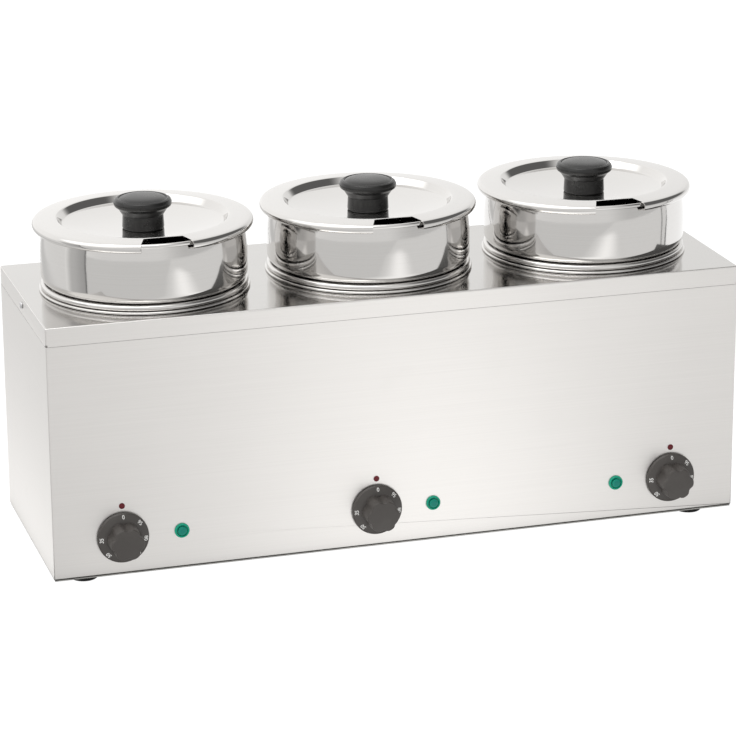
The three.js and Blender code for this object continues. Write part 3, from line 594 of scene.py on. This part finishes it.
def folded_sheet(name, node, open_sides, materials):
    """A sheet-metal piece of the model with its outer folds rounded."""
    shape = bmesh.new()
    shape.from_mesh(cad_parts[node].data)
    bmesh.ops.remove_doubles(shape, verts=shape.verts, dist=WELD)
    bmesh.ops.dissolve_limit(
        shape, angle_limit=math.radians(FLAT_WITHIN), verts=shape.verts, edges=shape.edges,
    )
    low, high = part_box(node)
    folds = [edge for edge in shape.edges if is_fold(edge, low, high, open_sides)]
    bmesh.ops.bevel(
        shape, geom=folds, offset=FOLD_RADIUS, offset_type="OFFSET", segments=FOLD_STEPS,
        profile=0.5, affect="EDGES", material=-1,
    )
    for face in shape.faces:
        normal = [abs(n) for n in face.normal]
        face.material_index = min(normal.index(max(normal)), len(materials) - 1)
    return mesh_object(name, shape, materials)


def make_housing():
    """The deck with its skirt, the wrapper of front and sides, and the rear wall."""
    by_direction = [SIDE_STEEL, FRONT_STEEL, DECK_STEEL]
    deck = folded_sheet("deck", "top_deck", {(2, 0)}, by_direction)
    for side in (-1, 1):
        corner = Vector((side * SIDE, FRONT, deck_low.z))
        reach = Vector((CORNER_NOTCH,) * 3)
        cut_out(deck, block(corner - reach, corner + reach))
    weighted(deck)
    settle(deck, "housing", "brushed_steel", "top_deck")

    shell = folded_sheet("wrapper", "housing_shell", {(1, 1), (2, 1)}, by_direction)
    weighted(shell)
    settle(shell, "housing", "brushed_steel", "housing_shell")

    rear = folded_sheet("rear_wall", "rear_panel", {(0, 0), (0, 1), (2, 1)}, [SIDE_STEEL, REAR_STEEL])
    weighted(rear)
    settle(rear, "housing", "brushed_steel", "rear_panel")


def make_foot(node):
    """A rubber foot with a rounded tread, a shallow ring groove under it and its push-in stem."""
    low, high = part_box(node)
    centre = middle(node)
    radius = half_width(node)
    sole = BASE - low.z - GAP
    stem = FOOT_STEM
    outline = eased([
        (0, 0.0012), (0.0045, 0.0012, 0.0005), (0.0055, 0, 0.0004),
        (radius - 0.0008, 0, 0.0016), (radius, sole * 0.55, 0.002), (radius - 0.0012, sole, 0.0008),
        (stem, sole), (stem, high.z - 0.002, 0.001), (stem - 0.0015, high.z, 0.0006), (0, high.z),
    ])
    shape = turned(outline, SMALL_STEPS)
    foot = mesh_object("rubber_" + node, shape, [RUBBER], (centre.x, centre.y, 0))
    settle(foot, "housing", "black_rubber", node)


def make_deck_screw(node, side):
    """A pan-head screw with a cross recess in its head."""
    low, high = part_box(node)
    centre = middle(node)
    tip, top = (low.x, high.x) if side > 0 else (-high.x, -low.x)
    head = (high.z - low.z) / 2
    shank = SCREW_SHANK
    under_head = top - SCREW_HEAD
    outline = eased([
        (0, tip), (shank * 0.7, tip, 0.0003), (shank, tip + 0.001), (shank, under_head),
        (head, under_head, 0.0003), (head, top - SCREW_HEAD * 0.45, 0.0009), (head * 0.6, top, 0.002),
        (0, top),
    ])
    screw = mesh_object("screw_" + node, turned(outline, SMALL_STEPS), [ZINC_STEEL])
    long, thin, deep = SCREW_CROSS
    for half in ((long, thin), (thin, long)):
        cut_out(screw, block((-half[0], -half[1], top - deep), (half[0], half[1], top + deep)))
    turn = Matrix.Rotation(side * math.pi / 2, 4, "Y")
    screw.data.transform(Matrix.Translation((0, centre.y, centre.z)) @ turn)
    settle(screw, "housing", "plain_steel", node)


def make_cable_gland():
    """A gland with a hexagon flange, a ribbed clamping nut and a rounded mouth; no cord is fitted."""
    low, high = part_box("cable_gland")
    centre = middle("cable_gland")
    length = high.y - low.y
    tail = REAR - low.y
    hexagon = half_width("cable_gland")
    thread, bore, flange = GLAND_THREAD, GLAND_BORE, GLAND_FLANGE
    nut_radius = hexagon - 0.0012
    body = mesh_object("gland_body", turned(eased([
        (bore, 0), (thread - 0.0006, 0), (thread, 0.0006), (thread, tail), (nut_radius, tail + flange),
        (nut_radius, length - 0.006, 0.001), (bore + 0.002, length, 0.0018), (bore, length, 0.0006),
    ]), ROUND_STEPS), [BLACK_PLASTIC])
    for index in range(GLAND_RIBS):
        turn = Matrix.Rotation(index * 2 * math.pi / GLAND_RIBS, 3, "Z")
        groove = block(
            (hexagon - 0.0016, -GLAND_RIB_HALF, tail + flange + 0.0015),
            (hexagon, GLAND_RIB_HALF, length - 0.0075),
        )
        bmesh.ops.rotate(groove, verts=groove.verts, cent=(0, 0, 0), matrix=turn)
        cut_out(body, groove)
    nut = bmesh.new()
    bmesh.ops.create_circle(nut, cap_ends=True, segments=6, radius=hexagon)
    raise_faces(nut, flange)
    bmesh.ops.recalc_face_normals(nut, faces=nut.faces)
    bmesh.ops.bevel(
        nut, geom=nut.edges[:], offset=0.0007, offset_type="OFFSET", segments=2, profile=0.5,
        affect="EDGES", material=-1,
    )
    bmesh.ops.translate(nut, verts=nut.verts, vec=(0, 0, tail + GAP))
    flange_piece = mesh_object("gland_flange", nut, [BLACK_PLASTIC])
    cut_out(flange_piece, bore_tool(bore, length + PAST))
    lay_back = Matrix.Translation((centre.x, low.y, centre.z)) @ Matrix.Rotation(-math.pi / 2, 4, "X")
    for piece in (body, flange_piece):
        piece.data.transform(lay_back)
        settle(piece, "housing", "black_plastic", "cable_gland")


# Wells, pots and lids

def make_well(station):
    """A well: its rolled rim, wall, rounded floor and the stud under it."""
    node = "well_" + station
    low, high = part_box(node)
    centre = middle(node)
    rim = half_width(node)
    inner = rim - WELL_RIM_WIDTH
    outer = inner + WELL_WALL
    bead_at = rim - RIM_BEAD
    bead_z = high.z - RIM_BEAD
    floor = DECK_TOP - WELL_DEPTH
    under_floor = floor - WELL_WALL
    corner_at = outer - WELL_CORNER
    corner_z = under_floor + WELL_CORNER
    seat = bead_z - (bead_at - RIM_BEAD - inner)
    outline = [
        (0, low.z), (WELL_STUD, low.z), (WELL_STUD, under_floor),
        *arc(corner_at, corner_z, WELL_CORNER, -90, 0, CORNER_STEPS),
        (outer, bead_z - RIM_BEAD), *arc(bead_at, bead_z, RIM_BEAD, -90, 180, RIM_STEPS),
        (inner + 0.0003, seat + 0.0003), (inner, seat - 0.0006),
        *arc(corner_at, corner_z, WELL_CORNER - WELL_WALL, 0, -90, CORNER_STEPS),
        (0, floor),
    ]
    finish = spun_steel("well_steel_" + station, centre, base_roughness=0.16, line_strength=0.2)
    well = mesh_object("water_well_" + station, turned(outline), [finish], (centre.x, centre.y, 0))
    settle(well, "housing", "plain_steel", node)


def make_well_ring(station):
    """The polished bead that lies on the deck round a well."""
    node = "well_ring_" + station
    low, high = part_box(node)
    centre = middle(node)
    outer = half_width(node)
    inner = half_width("well_" + station) - WELL_RIM_WIDTH + RING_CLEAR
    bead = (high.z - low.z) / 2
    outline = [
        (inner, low.z), *arc(outer - bead, low.z + bead, bead, -90, 90, BEAD_STEPS), (inner, high.z),
    ]
    finish = spun_steel("ring_steel_" + station, centre)
    ring = mesh_object("seat_ring_" + station, turned(outline), [finish], (centre.x, centre.y, 0))
    settle(ring, "housing", "polished_steel", node)


def pot_wall(belly, floor, seat, rim_top, inset):
    """One face of a pot's wall, from the middle of its floor to just under its rim."""
    neck = belly - POT_BULGE
    base = neck - POT_NECK_STEP
    shoulder_at = belly - POT_SHOULDER
    shoulder_z = DECK_TOP + POT_SHOULDER_HEIGHT
    shoulder = POT_SHOULDER - inset
    from_angle = -math.degrees(math.acos((neck - inset - shoulder_at) / shoulder))
    taper_z = shoulder_z + POT_STRAIGHT
    rise = rim_top - 2 * POT_RIM_BEAD - taper_z
    top_angle = math.degrees(math.asin(rise / (POT_TAPER - inset)))
    cone = inset * math.tan(math.pi / 8)
    return [
        (0, floor + inset),
        *arc(base - POT_CORNER, floor + POT_CORNER, POT_CORNER - inset, -90, 0, CORNER_STEPS),
        (base - inset, seat + cone), (neck - inset, seat + POT_NECK_STEP + cone),
        *arc(shoulder_at, shoulder_z, shoulder, from_angle, 0, CURVE_STEPS),
        *arc(belly - POT_TAPER, taper_z, POT_TAPER - inset, 0, top_angle, TAPER_STEPS)[1:],
    ]


def make_pot(station):
    """A pot: straight neck in the well, round shoulder, belly and rolled rim."""
    node = "pot_" + station
    low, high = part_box(node)
    centre = middle(node)
    belly = half_width(node)
    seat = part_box("well_" + station)[1].z - RIM_BEAD - POT_SEAT_UNDER_BEAD
    outer = pot_wall(belly, low.z, seat, high.z, 0)
    inner = pot_wall(belly, low.z, seat, high.z, POT_WALL)
    bead_at = outer[-1][0] - POT_WALL + POT_RIM_BEAD
    bead = arc(bead_at, high.z - POT_RIM_BEAD, POT_RIM_BEAD, -45, 180, BEAD_STEPS)
    finish = spun_steel("pot_steel_" + station, centre)
    shape = turned([*outer, *bead, *reversed(inner)])
    pot = mesh_object("soup_pot_" + station, shape, [finish], (centre.x, centre.y, 0))
    settle(pot, node, "polished_steel", node)


def lid_line(radius, flange, panel, land):
    """The top of a lid from its middle to its turned-down edge."""
    step_outer = radius - LID_FLANGE_WIDTH
    step_inner = step_outer - LID_STEP_WIDTH
    dish = [
        (land + (step_inner - land) * share, panel + LID_DISH * share ** 2)
        for share in (0, 0.2, 0.4, 0.6, 0.8, 0.93)
    ]
    edge_at = radius - LID_EDGE
    edge_z = flange - LID_CROWN - LID_EDGE
    round_edge = arc(edge_at, edge_z, LID_EDGE, LID_EDGE_START, LID_EDGE_CURL, CURVE_STEPS)
    corners = [
        (0, panel), *dish, (step_inner, panel + LID_DISH, LID_FOLD), (step_outer, flange, LID_FOLD),
        (step_outer + 0.006, flange - LID_CROWN * 0.2), (edge_at - 0.004, flange - LID_CROWN * 0.75),
        *round_edge,
    ]
    return eased(corners)


def cut_notch(shape, inner_radius, outer_radius):
    """Cuts the ladle notch, which widens towards the front, out of a lid's sheet."""
    slope = (NOTCH_HALF_OUTER - NOTCH_HALF_INNER) / (outer_radius - inner_radius)
    planes = [((0, -inner_radius, 0), (0, 1, 0))]
    for side in (-1, 1):
        planes.append(((side * NOTCH_HALF_INNER, -inner_radius, 0), (side, slope, 0)))
    for point, normal in planes:
        bmesh.ops.bisect_plane(
            shape, geom=shape.verts[:] + shape.edges[:] + shape.faces[:],
            plane_co=point, plane_no=normal, dist=WELD,
        )

    def in_notch(face):
        at = face.calc_center_median()
        return all((at - Vector(point)).dot(Vector(normal)) < 0 for point, normal in planes)

    bmesh.ops.delete(shape, geom=[face for face in shape.faces if in_notch(face)], context="FACES")


def make_lid(station):
    """A lid: dished panel, step, crowned flange with its ladle notch, and turned-down edge."""
    node = "lid_" + station
    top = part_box(node)[1].z
    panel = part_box("lid_knob_" + station)[0].z - GAP
    centre = middle(node)
    radius = half_width(node)
    line = lid_line(radius, top, panel, LID_STEM + LID_STEM_LAND)
    shape = turned(line, closed=False)
    if max(shape.faces, key=lambda face: abs(face.normal.z)).normal.z < 0:
        bmesh.ops.reverse_faces(shape, faces=shape.faces[:])
    cut_notch(shape, radius - LID_FLANGE_WIDTH + NOTCH_FROM_STEP, radius)
    bmesh.ops.remove_doubles(shape, verts=shape.verts, dist=WELD)
    finish = spun_steel("lid_steel_" + station, centre)
    place = (centre.x, centre.y, 0)
    lid = mesh_object("ladle_lid_" + station, shape, [finish], place, crease=LID_CREASE)
    wall = lid.modifiers.new("wall", "SOLIDIFY")
    wall.thickness = LID_THICKNESS
    wall.offset = -1
    wall.use_even_offset = True
    settle(lid, node, "polished_steel", node)


def make_lid_knob(station):
    """A mushroom knob: a stem, a wide cap with a groove near its edge and the screw's bore."""
    node = "lid_knob_" + station
    low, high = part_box(node)
    centre = middle(node)
    cap = half_width(node)
    top = high.z
    under_cap = top - LID_KNOB_CAP
    bore, bore_top = LID_KNOB_BORE, low.z + LID_KNOB_BORE_DEPTH
    outline = eased([
        (0, top), (cap * 0.45, top - 0.0003), (cap * 0.76, top - 0.0016, 0.02),
        (cap * 0.82, top - 0.0029, 0.0005), (cap * 0.86, top - 0.0022, 0.0006),
        (cap * 0.95, top - 0.0034, 0.002), (cap, top - 0.0066, 0.003),
        (cap - 0.0008, top - 0.0098, 0.0018), (LID_STEM + 0.0035, under_cap, 0.004),
        (LID_STEM, under_cap - 0.0055, 0.005), (LID_STEM - 0.0006, low.z + 0.014),
        (LID_STEM, low.z + 0.0012, 0.0008), (LID_STEM - 0.0008, low.z),
        (bore, low.z), (bore, bore_top), (0, bore_top),
    ])
    knob = mesh_object("grip_" + node, turned(outline), [BLACK_PLASTIC], (centre.x, centre.y, 0))
    settle(knob, "lid_" + station, "black_plastic", node)


# Controls

def grip_shape(radius, length):
    """A hub with shallow scallops that narrows a little towards its rounded face."""
    shape = bmesh.new()
    segments = GRIP_SCALLOPS * GRIP_SCALLOP_POINTS
    bmesh.ops.create_circle(shape, cap_ends=True, segments=segments, radius=radius)
    for vert in shape.verts:
        around = math.atan2(vert.co.x, vert.co.y)
        dip = math.cos(GRIP_SCALLOPS * around / 2) ** 4
        vert.co *= 1 - GRIP_SCALLOP_DEPTH / radius * dip
    top = raise_faces(shape, length)
    bmesh.ops.scale(shape, verts=top, vec=(GRIP_TAPER, GRIP_TAPER, 1))
    bmesh.ops.recalc_face_normals(shape, faces=shape.faces)
    rim = [edge for edge in shape.edges if all(abs(vert.co.z - length) < WELD for vert in edge.verts)]
    bmesh.ops.bevel(
        shape, geom=rim, offset=GRIP_ROUNDING, offset_type="OFFSET", segments=FOLD_STEPS, profile=0.5,
        affect="EDGES", material=-1,
    )
    return shape


def skirt_height(radius, skirt, grip):
    """How far the sloping dial face stands in front of the skirt's back."""
    share = (skirt - DIAL_EDGE - radius) / (skirt - DIAL_EDGE - grip - DIAL_FOOT)
    return SKIRT_THICKNESS + SKIRT_RISE * min(max(share, 0), 1)


def make_control_knob(station):
    """A thermostat knob: skirt disc, grip and printed figures, all on one spindle."""
    node = "control_knob_" + station
    low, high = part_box(node)
    centre = middle(node)
    skirt = half_width(node)
    length = high.y - low.y
    back = Vector((centre.x, high.y, centre.z))
    face = SKIRT_THICKNESS + SKIRT_RISE
    outline = eased([
        (GRIP_BORE, 0), (skirt - 0.0004, 0, 0.0003), (skirt, 0.0006),
        (skirt, SKIRT_THICKNESS - 0.0012, 0.0008), (skirt - DIAL_EDGE, SKIRT_THICKNESS, 0.0006),
        (GRIP_RADIUS + DIAL_FOOT, face, 0.0006), (GRIP_RADIUS * 0.8, face + 0.001),
        (GRIP_BORE, face + 0.001),
    ])
    dial = mesh_object("dial_skirt_" + station, turned(outline), [CHARCOAL])
    hub = grip_shape(GRIP_RADIUS, length - SKIRT_THICKNESS / 2)
    bmesh.ops.translate(hub, verts=hub.verts, vec=(0, 0, SKIRT_THICKNESS / 2))
    handle = mesh_object("dial_grip_" + station, hub, [CHARCOAL])
    cut_out(handle, bore_tool(GRIP_BORE, GRIP_BORE_DEPTH))
    marks = dial_marks("dial_figures_" + station, skirt, GRIP_RADIUS)
    lay_front = Matrix.Translation(back) @ Matrix.Rotation(math.pi / 2, 4, "X")
    for piece in (dial, handle, marks):
        piece.data.transform(lay_front)
        settle(piece, node, "charcoal_plastic", node)


def dial_marks(name, skirt, grip):
    """White figures that lie on the sloping dial face, each turned to its place."""
    whole = bmesh.new()
    for text, degrees in DIAL_MARKS:
        curve = bpy.data.curves.new("figure", "FONT")
        curve.body = text
        curve.size = MARK_SIZE
        curve.align_x = "CENTER"
        curve.align_y = "CENTER"
        curve.offset = MARK_BOLD
        figure = bpy.data.objects.new("figure", curve)
        bpy.context.scene.collection.objects.link(figure)
        depsgraph = bpy.context.evaluated_depsgraph_get()
        mesh = bpy.data.meshes.new_from_object(figure.evaluated_get(depsgraph))
        mesh.transform(Matrix.Translation((0, (skirt + grip) / 2 + MARK_OUTWARD, 0)))
        mesh.transform(Matrix.Rotation(-math.radians(degrees), 4, "Z"))
        whole.from_mesh(mesh)
        bpy.data.objects.remove(figure)
    bmesh.ops.remove_doubles(whole, verts=whole.verts, dist=WELD)
    bmesh.ops.subdivide_edges(whole, edges=whole.edges[:], cuts=1)
    for vert in whole.verts:
        vert.co.z = skirt_height(vert.co.xy.length, skirt, grip) + MARK_PROUD
    raised = bmesh.ops.extrude_face_region(whole, geom=whole.faces[:])
    for item in raised["geom"]:
        if isinstance(item, bmesh.types.BMVert):
            item.co.z += MARK_PROUD
    bmesh.ops.recalc_face_normals(whole, faces=whole.faces)
    return mesh_object(name, whole, [INK])


def make_lamp(station):
    """A pilot lamp: a bezel with a groove and a domed lens."""
    node = "pilot_lamp_lens_" + station
    low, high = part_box(node)
    centre = middle(node)
    flange = half_width(node)
    length = high.y - low.y
    neck, lens = LAMP_NECK, LAMP_LENS
    at_panel = high.y - FRONT
    bezel_front = at_panel + LAMP_BEZEL
    groove = at_panel + LAMP_GROOVE
    outline = eased([
        (0, 0), (neck, 0), (neck, at_panel + GAP), (flange, at_panel + GAP),
        (flange, bezel_front - 0.0007, 0.0005), (flange - 0.0008, bezel_front, 0.0005),
        (lens + 0.0015, bezel_front, 0.0003), (lens + 0.0011, groove), (lens, groove),
        (lens, length - 0.0008, 0.0006), (lens * 0.55, length, 0.004), (0, length),
    ])
    finish = lamp_green("lamp_green_" + station, centre, flange)
    shape = turned(outline, ROUND_STEPS)
    face_front(shape)
    lamp = mesh_object("lamp_lens_" + station, shape, [finish], (centre.x, high.y, centre.z))
    settle(lamp, "housing", "green_lens", node)


def make_index_dot(station):
    """A domed red dot on a small stud, above a knob."""
    node = "index_dot_" + station
    low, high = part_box(node)
    centre = middle(node)
    radius = half_width(node)
    length = high.y - low.y
    at_panel = high.y - FRONT + GAP
    stud = radius * 0.4
    dome = length - at_panel
    outline = eased([
        (0, 0), (stud, 0), (stud, at_panel), (radius, at_panel),
        (radius, at_panel + dome * 0.3, dome * 0.25),
        (radius * 0.7, length - dome * 0.1, radius * 0.3), (0, length),
    ])
    shape = turned(outline, SMALL_STEPS)
    face_front(shape)
    dot = mesh_object("index_mark_" + station, shape, [RED], (centre.x, high.y, centre.z))
    settle(dot, "housing", "red_dot", node)


def dress_hidden_nodes():
    """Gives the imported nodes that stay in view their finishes."""
    finishes = {
        "base_plate": MILL_STEEL, "gland_locknut": BLACK_PLASTIC, "terminal_block": CERAMIC,
        "element_clamp": MILL_STEEL, "heating_element": ZINC_STEEL, "thermostat_bulb": COPPER,
        "thermostat": MILL_STEEL, "thermostat_spindle": ZINC_STEEL, "pilot_lamp_body": BLACK_PLASTIC,
        "lid_knob_screw": ZINC_STEEL,
    }
    for name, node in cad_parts.items():
        finish = finishes.get(name.rstrip("_123"))
        if finish is None:
            continue
        if not node.material_slots:
            node.data.materials.append(finish)
        for place in node.material_slots:
            place.material = finish


make_housing()
for foot_node in ("foot_front_left", "foot_front_right", "foot_rear_left", "foot_rear_right"):
    make_foot(foot_node)
make_deck_screw("deck_screw_left", -1)
make_deck_screw("deck_screw_right", 1)
make_cable_gland()
for station in STATIONS:
    make_well(station)
    make_well_ring(station)
    make_pot(station)
    make_lid(station)
    make_lid_knob(station)
    make_control_knob(station)
    make_lamp(station)
    make_index_dot(station)
dress_hidden_nodes()


# Studio

CAMERA_AT = (-0.895345, -2.971128, 1.153752)
CAMERA_BEARING = 16.744
CAMERA_TILT = 17.734
CAMERA_ROLL = -0.3196
CAMERA_LENS = 153.894
CAMERA_SENSOR = 36
CAMERA_REACH = 50
VIEW_SLANT = 0.301
STUDIO_WHITE = (1, 0.995, 0.985, 1)
FLOOR_HALF = 12
FLOOR_GLOW = 1.2
FLOOR_GLOW_SHARE = 0.85
BOARD_AT = 0.001
BOARD_THICKNESS = 0.0002
BOARD_UNDER = 0.02
BOARD_SIZE = 22
BOARD_BASE = 0.85
BOARD_PEAK = 0.41
BOARD_PEAK_FADE = (2.6, 0.9)
BOARD_CORNER_FALL = 0.09
BOARD_CORNER_FROM = (-0.32, -0.42)
BOARD_PEAK_AT = 0.035
BOARD_PEAK_REACH = 0.34
BOARD_SHADE = (0.004, 0.03)
LEFT_SHADE = (0.001, 0.01)
LEFT_NEAR = 1.12
LEFT_FAR = 0.69
LEFT_REACH = 0.26
LEFT_RISE = 0.2
LEFT_RISE_FROM = (0.4, 0.8)
LEFT_FLAG = ((-0.801, -0.165, 0), (-0.80, 0.12, 0.4))
LEFT_FLAG_EDGE = (-0.150, -0.142)
LEFT_FLAG_GLOW = (0.2, 0.46, 0.60, 0.96)
LEFT_FLAG_NEAR = (-0.15, 0.02)
LEFT_FLAG_FAR = (0.02, 0.12)
RIGHT_FLAG = ((0.85, -0.192, 0), (0.851, -0.172, 0.4))
RIGHT_FLAG_GLOW = 0.3
SKY_FRONT = 0.88
SKY_BACK = 1.2
SKY_TURN = (-0.6, 0.8)
SKY_FALL = 0.22
SKY_FALL_FROM = (0.05, 0.6)
DARK_GLOW = 0.14
DARK_TOWARDS = (0.84, -0.05, 0.53)
DARK_EDGE = (0.70, 0.88)
DARK_ABOVE = (0.12, 0.3)
SOFTBOX_LIFT = 0.7
SOFTBOX_TOWARDS = (-0.62, -0.10, 0.78)
SOFTBOX_EDGE = (0.80, 0.92)


def pale_floor():
    """Pale matt paper over a light table, so that shadows stay soft and weak."""
    finish = Finish("pale_paper")
    fibres = finish.noise(finish.place(), 60, detail=4)
    paper = finish.node("ShaderNodeBsdfDiffuse", {}, {
        "Color": finish.blend(fibres, (0.86, 0.86, 0.86), (0.90, 0.90, 0.90)),
    })
    glow = finish.node("ShaderNodeEmission", {}, {"Color": (1, 1, 1, 1), "Strength": FLOOR_GLOW})
    both = finish.node("ShaderNodeMixShader", {}, {0: FLOOR_GLOW_SHARE, 1: paper, 2: glow})
    finish.node("ShaderNodeOutputMaterial", {}, {"Surface": both})
    return finish.material


def make_floor():
    """The plain floor that the kettle stands on."""
    shape = bmesh.new()
    bmesh.ops.create_grid(shape, x_segments=2, y_segments=2, size=FLOOR_HALF)
    mesh_object("floor", shape, [pale_floor()])


def glowing(finish, brightness):
    """Finishes a material as a plain light source of a brightness that may vary over it."""
    glow = finish.node("ShaderNodeEmission", {}, {"Color": STUDIO_WHITE, "Strength": brightness})
    finish.node("ShaderNodeOutputMaterial", {}, {"Surface": glow})
    return finish.material


def studio_board(name, material, low, high):
    """A flat board that shows only in the reflections on the steel."""
    board = mesh_object(name, block(low, high), [material])
    board.visible_camera = False
    board.visible_diffuse = False
    board.visible_shadow = False


def make_bounce_boards():
    """Lit boards on the floor: one in front, brightest ahead of the middle, and one to the left, both
    with painted shade close to the housing.
    """
    front = Finish("front_board")
    x, y, _ = front.parts(front.place())
    across = x + (y - FRONT) * VIEW_SLANT - BOARD_PEAK_AT
    off_peak = front.node("ShaderNodeMath", {"operation": "ABSOLUTE"}, {0: across})
    peak = front.stepped(off_peak / BOARD_PEAK_REACH, 1, 0) * front.stepped(FRONT - y, *BOARD_PEAK_FADE)
    corner = front.stepped(across, *BOARD_CORNER_FROM)
    lit = peak * BOARD_PEAK - corner * BOARD_CORNER_FALL + BOARD_BASE
    # painted shade: the front board darkens close to the housing, so the panel's lower edge reflects a
    # dark contact line
    clear = front.stepped(FRONT - y, *BOARD_SHADE)
    half = BOARD_SIZE / 2
    top = BOARD_AT + BOARD_THICKNESS
    studio_board(
        "front_board", glowing(front, lit * clear),
        (-half, FRONT - BOARD_SIZE, BOARD_AT), (half, FRONT + BOARD_UNDER, top),
    )
    left = Finish("left_board")
    away = -SIDE - left.parts(left.place())[0]
    fall = left.stepped(away / LEFT_REACH, 0, 1) * (LEFT_FAR - LEFT_NEAR) + LEFT_NEAR
    lit = fall + left.stepped(away, *LEFT_RISE_FROM) * LEFT_RISE
    # painted shade: the left board darkens close to the left side, so that side's lower edge reflects a
    # dark contact line
    clear = left.stepped(away, *LEFT_SHADE)
    studio_board(
        "left_board", glowing(left, lit * clear),
        (-SIDE - half, FRONT + BOARD_UNDER + 0.001, BOARD_AT), (-SIDE + BOARD_UNDER, half, top),
    )


def make_flags():
    """Grey cards that stand beside the kettle and give the polished pots their dark bands."""
    left = Finish("left_flag")
    y = left.parts(left.place())[1]
    strip, front_glow, middle_glow, rear_glow = LEFT_FLAG_GLOW
    near = left.stepped(y, *LEFT_FLAG_NEAR) * (middle_glow - front_glow)
    lit = left.stepped(y, *LEFT_FLAG_FAR) * (rear_glow - middle_glow) + near + front_glow
    edge = left.stepped(y, *LEFT_FLAG_EDGE)
    studio_board("left_flag", glowing(left, edge * (lit - strip) + strip), *LEFT_FLAG)
    right = Finish("right_flag")
    studio_board("right_flag", glowing(right, RIGHT_FLAG_GLOW), *RIGHT_FLAG)


def make_light(name, at, towards, width, height, power):
    """A soft rectangular light."""
    lamp = bpy.data.lights.new(name, "AREA")
    lamp.shape = "RECTANGLE"
    lamp.size = width
    lamp.size_y = height
    lamp.energy = power
    light = bpy.data.objects.new(name, lamp)
    light.location = at
    light.rotation_euler = (Vector(towards) - Vector(at)).to_track_quat("-Z", "Y").to_euler()
    bpy.context.scene.collection.objects.link(light)


def make_surroundings():
    """White studio walls, a dark opening high on the right and a large softbox to the left."""
    sky = Finish("studio", bpy.data.worlds)
    direction = sky.node("ShaderNodeTexCoord", out=0)

    def facing(towards):
        settings = {"operation": "DOT_PRODUCT"}
        return sky.node("ShaderNodeVectorMath", settings, {0: direction, 1: towards}, out=1)

    walls = sky.stepped(facing((0, 1, 0)), *SKY_TURN) * (SKY_BACK - SKY_FRONT) + SKY_FRONT
    walls = walls - sky.stepped(facing((1, 0, 0)), *SKY_FALL_FROM) * SKY_FALL
    opening = sky.stepped(facing(DARK_TOWARDS), *DARK_EDGE) * sky.stepped(facing((0, 0, 1)), *DARK_ABOVE)
    softbox = sky.stepped(facing(SOFTBOX_TOWARDS), *SOFTBOX_EDGE)
    light = walls - opening * (walls - DARK_GLOW) + softbox * SOFTBOX_LIFT
    shade = sky.node("ShaderNodeBackground", {}, {"Color": STUDIO_WHITE, "Strength": light})
    sky.node("ShaderNodeOutputWorld", {}, {"Surface": shade})
    bpy.context.scene.world = sky.material


def make_camera():
    """The camera: in front of the kettle on the left and above it, with a long lens."""
    lens = bpy.data.cameras.new("studio_camera")
    lens.sensor_width = CAMERA_SENSOR
    lens.lens = CAMERA_LENS
    lens.clip_end = CAMERA_REACH
    camera = bpy.data.objects.new("studio_camera", lens)
    turn = Matrix.Rotation(-math.radians(CAMERA_BEARING), 4, "Z")
    tilt = Matrix.Rotation(math.radians(90 - CAMERA_TILT), 4, "X")
    roll = Matrix.Rotation(math.radians(CAMERA_ROLL), 4, "Z")
    camera.matrix_world = Matrix.Translation(CAMERA_AT) @ turn @ tilt @ roll
    bpy.context.scene.collection.objects.link(camera)
    bpy.context.scene.camera = camera


make_camera()
make_floor()
make_bounce_boards()
make_flags()
make_surroundings()
make_light(
    "top_softbox", at=(-0.5, -0.3, 2.4), towards=(0, 0, 0.2), width=1.8, height=1.2, power=14,
)

bpy.context.scene.view_settings.view_transform = "Standard"
